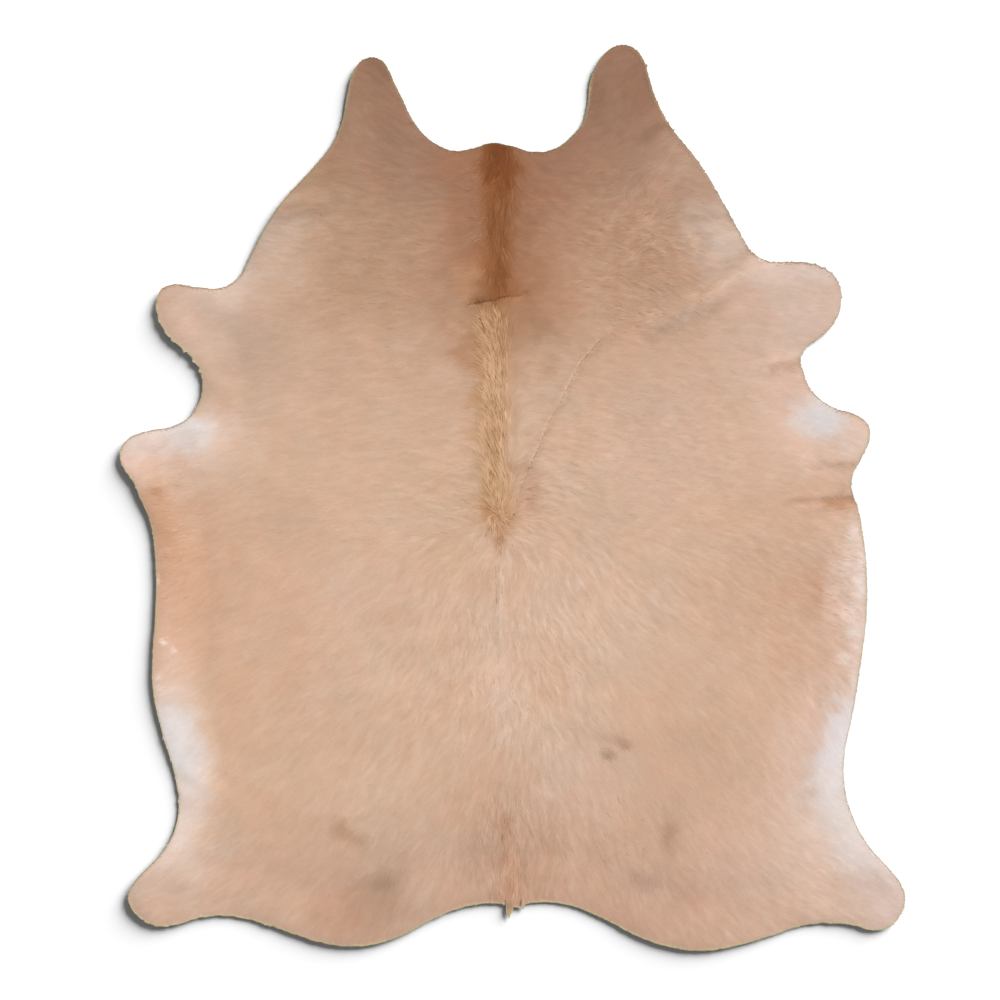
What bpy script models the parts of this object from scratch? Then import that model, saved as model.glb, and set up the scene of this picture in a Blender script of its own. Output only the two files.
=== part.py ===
"""A hair-on cowhide, lying flat on its flesh side with the hair up.

Metres, +Z up. The head end points to +Y and the tail to -Y. The origin is the
middle of the hide's outer box, on the surface that it lies on.
"""

import math

import bmesh
import bpy
from mathutils import Vector
from mathutils.geometry import delaunay_2d_cdt
from mathutils.kdtree import KDTree

MM = 0.001

# Thickness: tanned leather with short hair lying flat on it
LEATHER = 2.2 * MM
HAIR_LIE = 2.8 * MM
BODY_THICKNESS = LEATHER + HAIR_LIE
RIM_THICKNESS = 3.0 * MM
RIM_BEVEL = 16 * MM
MANE_RISE = 3.0 * MM
MANE_HALF_WIDTH = 46 * MM

# The mane stands at full height but for this last share of its line
MANE_END = 1 / 6

# The nap wavers as two crossed waves: height, radians a metre across and along,
# and how far each wave bends with the other
NAP_WAVE = 0.35 * MM
NAP_ACROSS = (21, 9)
NAP_ALONG = (17, 13)
NAP_BEND = (1.3, 2)

# Spacing of the points that carry the shape
OUTLINE_STEPS = 4
GRID_PITCH = 56 * MM
FOLD_PITCH = 26 * MM
LEAST_GAP = 13 * MM
EDGE_SEARCH_PITCH = 5 * MM

# How near points come to each other and to the cut edge, as shares of a spacing
GRID_GAP = 0.62
GRID_EDGE_GAP = 0.5
FINE_EDGE_GAP = 0.9

# How low a fold starts at its ends, and how full its back is between them
FOLD_START = 0.08
FOLD_FULLNESS = 0.7

# Width of the band along the cut edge that curls off the floor
CURL_WIDTH = 125 * MM
CURL_LIMIT = 15 * MM

COAT_COLOUR = (203, 168, 144)
COAT_ROUGHNESS = 0.82

# The cut edge, clockwise from the poll between the ears, in millimetres from
# the middle of the hide: name, kind of bend, then points (across, along)
OUTLINE = (
    ("poll", "AUTO", (
        (-130, 814), (-92, 821), (-48, 833), (-4, 826), (51, 812), (102, 821))),
    ("right ear", "AUTO", (
        (140, 850), (163, 880), (177, 934), (181, 975), (200, 1022), (227, 1052),
        (255, 1063), (284, 1056), (309, 1026), (323, 981), (335, 944), (367, 879))),
    ("right neck", "AUTO", (
        (434, 793), (492, 699), (536, 618), (562, 578), (594, 556))),
    ("right fore leg", "AUTO", (
        (652, 553), (711, 547), (748, 528), (769, 498), (773, 462), (759, 413),
        (732, 382), (691, 350), (678, 324), (684, 296), (695, 264))),
    ("right elbow", "AUTO", (
        (718, 235), (758, 209), (808, 193), (837, 167), (839, 134), (818, 86),
        (799, 47), (799, 14))),
    ("right flank", "AUTO", (
        (812, -24), (823, -80), (833, -180), (832, -285), (822, -370), (801, -505),
        (781, -605), (780, -670), (796, -740), (832, -812))),
    ("right hind leg", "AUTO", (
        (887, -876), (915, -913), (922, -950), (909, -986), (882, -1012),
        (842, -1018), (798, -1006))),
    ("right rump", "AUTO", (
        (730, -1002), (678, -1009), (600, -1034), (523, -1055), (450, -1066),
        (377, -1059), (300, -1035), (210, -990), (137, -961), (83, -953),
        (42, -955))),
    ("tail tuft", "VECTOR", (
        (27, -958), (20, -967), (6, -961), (-2, -969), (-9, -990), (-16, -967),
        (-20, -957))),
    ("left rump", "AUTO", (
        (-53, -955), (-130, -969), (-192, -995), (-250, -1026), (-310, -1048),
        (-372, -1056), (-440, -1049), (-579, -1005), (-657, -986), (-730, -988))),
    ("left hind leg", "AUTO", (
        (-788, -1004), (-835, -1008), (-875, -988), (-901, -953), (-898, -920),
        (-878, -892), (-845, -858), (-818, -827), (-796, -785))),
    ("left flank", "AUTO", (
        (-785, -730), (-794, -655), (-822, -560), (-845, -452), (-846, -380),
        (-839, -260), (-839, -160), (-853, -55), (-874, -6))),
    ("left elbow", "AUTO", (
        (-892, 37), (-917, 74), (-922, 105), (-905, 135), (-861, 154), (-806, 164),
        (-768, 182))),
    ("left fore leg", "AUTO", (
        (-740, 218), (-729, 260), (-736, 299), (-765, 338), (-808, 378), (-831, 418),
        (-836, 457), (-825, 487), (-790, 500), (-737, 493), (-686, 492),
        (-648, 513))),
    ("left neck", "AUTO", (
        (-618, 564), (-584, 630), (-537, 699), (-452, 793), (-418, 842))),
    ("left ear", "AUTO", (
        (-399, 893), (-389, 945), (-373, 1002), (-354, 1025), (-331, 1033),
        (-308, 1026), (-290, 1003), (-275, 968), (-258, 935), (-239, 895),
        (-207, 852), (-168, 824))),
)

# Soft ridges where the skin buckles: height and half width, then the line that
# the crest follows, in millimetres
FOLDS = (
    ("right shoulder fold", 7.5, 34, (
        (588, 553), (535, 514), (471, 472), (417, 445), (345, 402))),
    ("right neck fold", 4.0, 26, ((546, 602), (500, 562), (446, 524), (400, 500))),
    ("right cheek fold", 4.5, 26, ((518, 634), (466, 620), (408, 602))),
    ("withers crease", 2.5, 20, ((-88, 455), (-44, 466), (26, 474))),
    ("right ear root crease", 3.5, 22, ((372, 866), (335, 862), (296, 850))),
    ("right armpit crease", 3.5, 22, ((682, 322), (630, 306), (580, 300))),
    ("right flank crease", 5.5, 24, ((806, 0), (740, -10), (668, -18), (590, -26))),
    ("right elbow crease", 4.0, 22, ((816, 70), (770, 62), (716, 66))),
    ("left neck crease", 4.0, 26, ((-560, 660), (-500, 686), (-430, 700))),
    ("left shoulder crease", 3.5, 26, ((-520, 560), (-470, 600), (-420, 640))),
    ("left armpit crease", 3.0, 24, ((-738, 262), (-680, 240), (-610, 236))),
    ("left groin crease", 3.5, 26, ((-792, -660), (-720, -700), (-640, -720))),
    ("right groin crease", 3.5, 26, ((784, -650), (710, -700), (640, -716))),
    ("shoulder scar", 1.6, 16, (
        (300, 460), (206, 370), (150, 305), (92, 182), (58, 110), (30, 45), (4, -48))),
)

# How far the edge lifts near each place: middle across and along, reach, lift
CURLS = (
    ("left ear", -330, 1000, 230, 7),
    ("right ear", 255, 1030, 200, 4),
    ("left neck", -540, 690, 260, 7),
    ("left fore leg", -830, 430, 250, 11),
    ("left armpit", -720, 250, 170, 5),
    ("left elbow", -905, 110, 230, 10),
    ("left flank", -850, -190, 380, 8),
    ("left belly", -835, -520, 330, 8),
    ("left hind leg", -890, -940, 290, 12),
    ("left rump", -400, -1050, 420, 9),
    ("tail root", -20, -965, 260, 5),
    ("right rump", 430, -1066, 430, 9),
    ("right hind leg", 890, -980, 260, 8),
    ("right belly", 800, -600, 320, 3),
    ("right flank", 830, -220, 330, 4),
    ("right elbow", 830, 150, 190, 4),
    ("right fore leg", 765, 480, 210, 5),
    ("right neck", 500, 690, 240, 3),
)

# The hair stands higher along the back of the neck: line, in millimetres
MANE = ((-34, 835), (-38, 600), (-44, 460), (-40, 260), (-34, 60), (-34, -60))


def clear_scene():
    """Remove every object that the file starts with."""
    for item in list(bpy.data.objects):
        bpy.data.objects.remove(item, do_unlink=True)


def linear(channel):
    """Turn one sRGB channel from 0 to 255 into a linear value."""
    share = channel / 255
    if share <= 0.04045:
        return share / 12.92
    return ((share + 0.055) / 1.055) ** 2.4


def coat_material():
    """Matt, warm tan hair."""
    material = bpy.data.materials.new("tan_hair_coat")
    material.use_nodes = True
    shader = material.node_tree.nodes["Principled BSDF"]
    shader.inputs["Base Color"].default_value = (*map(linear, COAT_COLOUR), 1)
    shader.inputs["Roughness"].default_value = COAT_ROUGHNESS
    shader.inputs["Metallic"].default_value = 0
    return material


def outline_points():
    """Read the cut edge from a smooth closed curve through its landmarks."""
    landmarks = [(bend, x * MM, y * MM) for _, bend, points in OUTLINE for x, y in points]
    data = bpy.data.curves.new("cut_edge", "CURVE")
    data.dimensions = "2D"
    data.fill_mode = "NONE"
    spline = data.splines.new("BEZIER")
    spline.use_cyclic_u = True
    spline.resolution_u = OUTLINE_STEPS
    spline.bezier_points.add(len(landmarks) - 1)
    for knot, (bend, x, y) in zip(spline.bezier_points, landmarks):
        knot.co = (x, y, 0)
        knot.handle_left_type = bend
        knot.handle_right_type = bend
    guide = bpy.data.objects.new("cut_edge", data)
    bpy.context.scene.collection.objects.link(guide)
    graph = bpy.context.evaluated_depsgraph_get()
    line = bpy.data.meshes.new_from_object(guide.evaluated_get(graph))
    points = [Vector((v.co.x, v.co.y)) for v in line.vertices]
    bpy.data.objects.remove(guide, do_unlink=True)
    bpy.data.meshes.remove(line)
    return thinned(points, LEAST_GAP * 0.5)


def thinned(points, least):
    """Drop points that stand closer than least to the last one kept."""
    kept = [points[0]]
    for point in points[1:]:
        if (point - kept[-1]).length >= least:
            kept.append(point)
    if (kept[-1] - kept[0]).length < least:
        kept.pop()
    return kept


def smooth_fall(share):
    """Go from 1 at share 0 to 0 at share 1, flat at both ends."""
    share = min(max(share, 0), 1)
    return (1 - share * share) ** 2


def along_line(point, line):
    """Nearest distance to a line of points, and how far along it that lies."""
    runs = [(Vector(a) * MM, Vector(b) * MM) for a, b in zip(line, line[1:])]
    total = sum((b - a).length for a, b in runs)
    best = (math.inf, 0)
    passed = 0
    for a, b in runs:
        run = b - a
        share = min(max((point - a).dot(run) / run.length_squared, 0), 1)
        distance = (point - a - run * share).length
        if distance < best[0]:
            best = (distance, (passed + run.length * share) / total)
        passed += run.length
    return best


def fold_rise(point):
    """Height of the skin over the floor where it buckles."""
    rise = 0
    for _, height, half_width, line in FOLDS:
        distance, share = along_line(point, line)
        place = FOLD_START + (1 - 2 * FOLD_START) * share
        taper = math.sin(math.pi * place) ** FOLD_FULLNESS
        rise = max(rise, height * MM * taper * smooth_fall(distance / (half_width * MM)))
    return rise


def edge_lift(point, edge_distance):
    """Height of the skin over the floor where the cut edge curls up."""
    lift = 0
    for _, x, y, reach, height in CURLS:
        away = (point - Vector((x, y)) * MM).length / (reach * MM)
        lift += height * MM * smooth_fall(away)
    lift = min(lift, CURL_LIMIT)
    return lift * smooth_fall(edge_distance / CURL_WIDTH)


def coat_thickness(point, edge_distance):
    """Leather and lying hair together, thin at the cut and high at the mane."""
    x, y = point
    across = math.sin(x * NAP_ACROSS[0] + NAP_BEND[0] * math.sin(y * NAP_ALONG[1]))
    along = math.sin(y * NAP_ALONG[0] + NAP_BEND[1] * math.sin(x * NAP_ACROSS[1]))
    body = BODY_THICKNESS + NAP_WAVE * (across + along)
    distance, share = along_line(point, MANE)
    end_taper = min(1, (1 - share) / MANE_END)
    body += MANE_RISE * smooth_fall(distance / MANE_HALF_WIDTH) * end_taper
    fullness = 1 - smooth_fall(edge_distance / RIM_BEVEL)
    return RIM_THICKNESS + (body - RIM_THICKNESS) * fullness


def edge_finder(outline):
    """Build a search tree of closely spaced points along the cut edge."""
    spots = []
    for a, b in zip(outline, outline[1:] + outline[:1]):
        steps = max(1, round((b - a).length / EDGE_SEARCH_PITCH))
        spots += [a.lerp(b, step / steps) for step in range(steps)]
    tree = KDTree(len(spots))
    for number, spot in enumerate(spots):
        tree.insert(spot.to_3d(), number)
    tree.balance()
    return tree


def is_inside(point, outline):
    """Tell whether a point lies within the closed outline."""
    inside = False
    for a, b in zip(outline, outline[1:] + outline[:1]):
        if (a.y > point.y) != (b.y > point.y):
            crossing = a.x + (point.y - a.y) / (b.y - a.y) * (b.x - a.x)
            inside ^= point.x < crossing
    return inside


def inset_ring(outline):
    """Points just inside the cut edge, where the coat reaches full thickness."""
    ring = []
    for before, point, after in zip(outline[-1:] + outline, outline, outline[1:] + outline[:1]):
        run = (after - before).normalized()
        ring.append(point + Vector((run.y, -run.x)) * RIM_BEVEL)
    return ring[::2]


def rows_beside(line, half_width, pitch):
    """Rows of points along a line: on its crest, at mid slope and at its foot."""
    rows = []
    for offset in (0, 0.5, -0.5, 1, -1):
        for start, end in zip(line, line[1:]):
            a = Vector(start) * MM
            run = Vector(end) * MM - a
            side = Vector((-run.y, run.x)).normalized() * offset * half_width
            steps = max(1, round(run.length / pitch))
            rows += [a + run * (step / steps) + side for step in range(steps + 1)]
    return rows


def even_grid(outline):
    """Points in staggered rows over the whole hide."""
    reach_x = max(abs(p.x) for p in outline)
    reach_y = max(abs(p.y) for p in outline)
    row_pitch = GRID_PITCH * math.sqrt(3) / 2
    grid = []
    for row in range(-math.ceil(reach_y / row_pitch), math.ceil(reach_y / row_pitch) + 1):
        shift = GRID_PITCH / 2 * (row % 2)
        for column in range(-math.ceil(reach_x / GRID_PITCH), math.ceil(reach_x / GRID_PITCH) + 1):
            grid.append(Vector((column * GRID_PITCH + shift, row * row_pitch)))
    return grid


def spaced(candidates, kept, gap):
    """The candidates that stand at least a gap from each other and from kept."""
    cells = {}

    def cell_of(point):
        return math.floor(point.x / gap), math.floor(point.y / gap)

    def is_free(point):
        column, row = cell_of(point)
        near = [other for i in (-1, 0, 1) for j in (-1, 0, 1)
                for other in cells.get((column + i, row + j), ())]
        return all((point - other).length >= gap for other in near)

    for point in kept:
        cells.setdefault(cell_of(point), []).append(point)
    fresh = []
    for point in candidates:
        if is_free(point):
            cells.setdefault(cell_of(point), []).append(point)
            fresh.append(point)
    return fresh


def inner_points(outline, tree):
    """All points within the edge, the finest shapes first, none too close."""
    fine = [point for _, _, half_width, line in FOLDS
            for point in rows_beside(line, half_width * MM, FOLD_PITCH)]
    fine += rows_beside(MANE, MANE_HALF_WIDTH, FOLD_PITCH * 2)
    groups = (
        (fine, LEAST_GAP, LEAST_GAP * FINE_EDGE_GAP),
        (inset_ring(outline), LEAST_GAP, RIM_BEVEL * FINE_EDGE_GAP),
        (even_grid(outline), GRID_PITCH * GRID_GAP, GRID_PITCH * GRID_EDGE_GAP),
    )
    kept = []
    for candidates, gap, edge_gap in groups:
        within = [point for point in candidates
                  if tree.find(point.to_3d())[2] >= edge_gap and is_inside(point, outline)]
        kept += spaced(within, kept, gap)
    return kept


def build_hide(collection):
    """One skin: its lower face lies on the floor, its coat is thickened on it."""
    outline = outline_points()
    tree = edge_finder(outline)
    points = outline + inner_points(outline, tree)
    corners, _, faces, *_ = delaunay_2d_cdt(points, [], [list(range(len(outline)))], 1, 1e-6)
    heights = []
    thicknesses = []
    for corner in corners:
        edge_distance = tree.find(corner.to_3d())[2]
        heights.append(fold_rise(corner) + edge_lift(corner, edge_distance))
        thicknesses.append(coat_thickness(corner, edge_distance))
    most = max(thicknesses)

    shape = bmesh.new()
    dots = [shape.verts.new((c.x, c.y, height)) for c, height in zip(corners, heights)]
    for face in faces:
        shape.faces.new([dots[number] for number in face])
    bmesh.ops.recalc_face_normals(shape, faces=shape.faces)
    shape.normal_update()
    if sum(face.normal.z for face in shape.faces) < 0:
        bmesh.ops.reverse_faces(shape, faces=shape.faces)
    mesh = bpy.data.meshes.new("hide")
    shape.to_mesh(mesh)
    shape.free()
    mesh.materials.append(coat_material())
    mesh.shade_smooth()

    hide = bpy.data.objects.new("hide", mesh)
    collection.objects.link(hide)
    group = hide.vertex_groups.new(name="coat_depth")
    for number, thickness in enumerate(thicknesses):
        group.add([number], thickness / most, "REPLACE")
    skin = hide.modifiers.new("leather_and_hair", "SOLIDIFY")
    skin.thickness = most
    skin.offset = 1
    skin.vertex_group = group.name
    skin.thickness_vertex_group = 0
    return hide


def centre_on_floor(hide):
    """Put the origin under the middle of the hide's outer box."""
    graph = bpy.context.evaluated_depsgraph_get()
    solid = bpy.data.meshes.new_from_object(hide.evaluated_get(graph))
    spots = [v.co for v in solid.vertices]
    middle_x = (min(s.x for s in spots) + max(s.x for s in spots)) / 2
    middle_y = (min(s.y for s in spots) + max(s.y for s in spots)) / 2
    bpy.data.meshes.remove(solid)
    for vertex in hide.data.vertices:
        vertex.co.x -= middle_x
        vertex.co.y -= middle_y


def main():
    clear_scene()
    collection = bpy.data.collections.new("cowhide")
    bpy.context.scene.collection.children.link(collection)
    hide = build_hide(collection)
    centre_on_floor(hide)


main()
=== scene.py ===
"""Dresses a hair-on cowhide that lies flat with its hair up.

The file is laid out as an add-on and is run as a script. Metres, +Z up. The
head end points to +Y and the tail to -Y, in the same frame as the solid. The
tables are in millimetres. Places and directions seen from above are complex
numbers, with +X real and +Y imaginary.
"""

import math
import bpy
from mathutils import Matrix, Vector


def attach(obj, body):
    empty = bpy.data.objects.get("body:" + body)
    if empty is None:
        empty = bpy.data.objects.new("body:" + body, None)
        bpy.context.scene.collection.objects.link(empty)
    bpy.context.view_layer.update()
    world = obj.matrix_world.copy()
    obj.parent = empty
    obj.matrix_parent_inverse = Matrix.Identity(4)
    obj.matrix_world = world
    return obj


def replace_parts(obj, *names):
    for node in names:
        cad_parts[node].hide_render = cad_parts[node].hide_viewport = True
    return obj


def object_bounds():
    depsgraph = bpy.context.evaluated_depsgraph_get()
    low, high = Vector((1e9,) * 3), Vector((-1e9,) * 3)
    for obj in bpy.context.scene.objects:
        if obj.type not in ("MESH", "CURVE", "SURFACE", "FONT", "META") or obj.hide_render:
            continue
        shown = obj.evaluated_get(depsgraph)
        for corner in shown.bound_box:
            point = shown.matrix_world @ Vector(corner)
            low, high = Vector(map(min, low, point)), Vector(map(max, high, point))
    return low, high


bl_info = {
    "name": "Cowhide",
    "version": (1, 0, 0),
    "blender": (4, 5, 0),
    "location": "View3D > Sidebar > Cowhide",
    "description": "Makes the leather, coat, mane and tail tuft of a flat cowhide",
    "category": "Object",
}

from collections import namedtuple
from functools import lru_cache

import bmesh
import bpy
import numpy as np
from bpy.props import FloatProperty, FloatVectorProperty, IntProperty, PointerProperty
from bpy.types import Operator, Panel, PropertyGroup
from bpy.utils import register_class, unregister_class
from mathutils import Vector
from mathutils.bvhtree import BVHTree
from mathutils.geometry import delaunay_2d_cdt
from mathutils.kdtree import KDTree

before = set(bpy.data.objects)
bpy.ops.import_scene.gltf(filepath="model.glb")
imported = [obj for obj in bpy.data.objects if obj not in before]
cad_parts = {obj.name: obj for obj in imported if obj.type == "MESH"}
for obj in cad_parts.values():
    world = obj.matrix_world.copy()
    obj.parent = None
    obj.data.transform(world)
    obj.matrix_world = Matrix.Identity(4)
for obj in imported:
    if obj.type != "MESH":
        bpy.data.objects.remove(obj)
CAD_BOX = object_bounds()

MM = 0.001

# Each random choice starts from this and a number of its own, so all runs agree
SEED = 41

# Spacing of the grids that hold the hide's shape and the streaks of its coat, and
# the margin around the hide that they cover
SHAPE_STEP = 4 * MM
STREAK_STEP = 2.5 * MM
GRID_MARGIN = 40 * MM

# Spacing of the points along the cut edge, of which the skin takes every third
EDGE_STEP = 1.2 * MM
SKIN_STRIDE = 3

# A face whose normal points further down than this belongs to the underside, and
# one that is nearer to upright, within this up or down, to the rim
UNDERSIDE_NORMAL = -0.5
RIM_NORMAL = 0.6

# The solid's facets are larger than the skin's, so they are evened out by this
FACET_SOFTNESS = 13 * MM
FLOOR_CLEARANCE = 0.4 * MM

# The skin lies this far under the foot of the coat, stops this far inside the hair
# tips, bulges this far at its cut and has its full thickness this far in from it
UNDER_COAT = 0.1 * MM
CUT_INSET = 1.4 * MM
CUT_BULGE = 0.45 * MM
FULL_SKIN = 7 * MM

# The coat colours are those of a lit hide, so the light's own gain is taken off
LIGHT_SHARE = 0.92

# How red, green and blue follow a change of tone, which reddens dark hair, and a
# change of warmth
TONE_WEIGHTS = np.array((0.8, 1.05, 1.35))
WARMTH_WEIGHTS = np.array((0.7, -0.2, -0.5))

# The backbone's line from the poll to the tail, in millimetres
BACKBONE = ((-24, 830), (-28, 700), (-34, 590), (-31, 470), (-33, 300), (-36, 150),
            (-31, -50), (-31, -200), (-30, -360), (-26, -500), (-20, -750), (-16, -960))

# The whorl at the withers, where the hair parts, the reach of its pull on the hair,
# and where the lie starts to turn before it and the length in which it turns
WHORL = complex(-29, -53) * MM
WHORL_REACH = 85 * MM
WHORL_LEAD = 30 * MM
WHORL_LENGTH = 190 * MM

# Lie of the hair in degrees, 0 to the tail, 90 out from the backbone and 180 to the
# head: at the shoulders, on the crest, and on the barrel far from the backbone,
# with the distance in which it turns to that
SHOULDER_LIE = 90
CREST_LIE = 180
BARREL_LIE = 68
BARREL_REACH = 380 * MM

# The line on the crest of the neck where hair from the head meets hair from the
# whorl, the length in which the lie turns there, and the same past the whorl
CREST_MEETING = 470 * MM
MEETING_LENGTH = 16 * MM
CREST_LENGTH = 50 * MM

# Half width of the row of long hair on the neck, the width in which it ends, the
# width in which the lie changes sides, and how much further out it points at
# each millimetre from the backbone, in degrees
MANE_REACH = 50 * MM
MANE_FADE = 9 * MM
PARTING_WIDTH = 9 * MM
CREST_SPLAY = 18 / 40
MANE_SPLAY = 20 / 40

# Just before the tail root the hair of both sides runs together
TAIL_ROOT = complex(-8, -1010) * MM
TAIL_REACH = 110 * MM
TAIL_PULL = 0.8

# Added to distances from a point, so that the direction to it is known there too
LEAST_GAP = 0.1 * MM

# The long scar on the right shoulder, in millimetres
SCAR_LINE = ((206, 370), (159, 314), (116, 229), (88, 182), (60, 112), (32, 53),
             (13, 1), (1, -48))

# Clouds of random values: height, size in millimetres and a number of their own.
# They turn the lie by degrees, wave the skin by millimetres, cut the edge's teeth,
# vary the roughness, fray the borders of patches, move the colours by millimetres
# across and along, and make the coat warmer or lighter
BROAD_TURNS = ((9, 190, 1),)
TOUSLED_TURNS = ((9, 55, 2), (12, 24, 3), (9, 13, 4))
SKIN_WAVES = ((0.25, 75, 30), (0.06, 30, 31))
CUT_TEETH = ((1.4, 8, 91), (0.5, 3.5, 92))
UNEVEN_ROUGHNESS = ((0.25, 130, 20),)
RAGGED_BORDERS = ((0.15, 24, 42), (0.16, 60, 43))
WAVERING_PLACES = (((9, 28, 40),), ((9, 28, 41),))
WARMTH = ((0.011, 85, 44), (0.009, 32, 45))
SHADE = ((0.009, 120, 46), (0.007, 42, 47))

# Roughness of the coat on the sides of the back, how much the lie is tousled there,
# and the depth of the cut edge's teeth in millimetres where it isn't frayed
COAT_ROUGHNESS = 0.95
TOUSLE = 0.8
TEETH_DEPTH = 0.5

# Streaks in which the hair lies: height, softness and length each way in cells
STREAKS = ((0.4, 0, 3), (0.8, 1.1, 5), (0.45, 2.6, 8))

# Stripes wider than this have borders as ragged as the patches'
RAGGED_HALF_WIDTH = 15

# Places where the lie of the hair turns: across, along, reach, degrees
TURNS = (
    ("whorl", -38, -58, 55, 38),
    ("left ear", -345, 930, 170, -55),
    ("right ear", 265, 950, 170, 50),
    ("right shoulder swirl", 290, 700, 110, 34),
    ("right shoulder below", 330, 470, 130, -14),
    ("left neck", -430, 600, 200, -10),
    ("left fore leg", -770, 430, 200, 8),
    ("right fore leg", 700, 470, 200, 6),
    ("left elbow", -850, 80, 190, 12),
    ("right elbow", 790, 130, 170, -10),
    ("left flank", -760, -560, 200, 16),
    ("right flank", 750, -560, 200, -16),
    ("left rump", -420, -930, 260, 16),
    ("right rump", 420, -930, 260, -16),
)

# Fine relief over the solid's own folds: rise, half width, then the line
RELIEF = (
    ("right shoulder fold crest", 0.8, 12, ((580, 558), (500, 500), (424, 445), (350, 400))),
    ("right shoulder fold foot", -0.45, 14, ((556, 574), (500, 530), (440, 480))),
    ("right neck fold crest", 0.5, 12, ((523, 640), (470, 622), (417, 608))),
    ("right neck fold foot", -0.3, 12, ((523, 664), (470, 655), (420, 647))),
    ("ear root crease", -0.6, 11, ((375, 871), (342, 866), (300, 859))),
    ("right armpit crease", -0.7, 8, ((676, 323), (640, 312), (600, 304))),
    ("right flank crease", -0.8, 9, ((793, -6), (730, -10), (664, -13))),
    ("right elbow crease", -0.4, 8, ((793, 76), (740, 66), (700, 62))),
    ("left neck crease high", -0.5, 9, ((-534, 676), (-480, 690), (-428, 720))),
    ("left neck crease low", -0.5, 9, ((-534, 640), (-500, 655), (-452, 660))),
    ("left shoulder crease", -0.5, 10, ((-500, 582), (-470, 600), (-428, 628))),
    ("crest meeting line", -0.9, 8, ((-88, 457), (-60, 462), (-29, 469), (-4, 474), (27, 478))),
    ("parting ridge", 0.3, 6, ((-31, -160), (-31, -230), (-32, -350))),
    ("shoulder scar groove", -0.3, 4, SCAR_LINE),
    ("shoulder scar lip", 0.3, 5, (
        (198, 380), (150, 322), (107, 236), (79, 188), (51, 118), (23, 58))),
)

# Folds of the solid that lie flatter here: how much, half width, then the line
FLATTER_FOLDS = (
    ("right cheek fold", 2.4, 22, ((518, 634), (466, 620), (408, 602))),
    ("right elbow crease", 2.4, 20, ((816, 70), (770, 62), (716, 66))),
    ("right flank crease", 2.6, 22, ((806, 0), (740, -10), (668, -18), (590, -26))),
    ("left armpit crease", 1.2, 22, ((-738, 262), (-680, 240), (-610, 236))),
    ("left groin crease", 1.5, 22, ((-792, -660), (-720, -700), (-640, -720))),
    ("right groin crease", 1.5, 22, ((784, -650), (710, -700), (640, -716))),
)

# Coat colour from head to tail: place along the back, sRGB hex
BACK_TONES = (
    ("tail head", -980, "c2a089"),
    ("rump", -830, "c9a68e"),
    ("hips", -685, "ceac92"),
    ("loin", -450, "d3b096"),
    ("barrel", -240, "d4b29a"),
    ("ribs", -5, "d0ad92"),
    ("shoulders", 230, "cdaa90"),
    ("withers", 360, "caa68c"),
    ("neck base", 490, "c09a7f"),
    ("neck", 650, "b48d72"),
    ("poll", 815, "a88068"),
    ("ears", 980, "98715a"),
)

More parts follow.
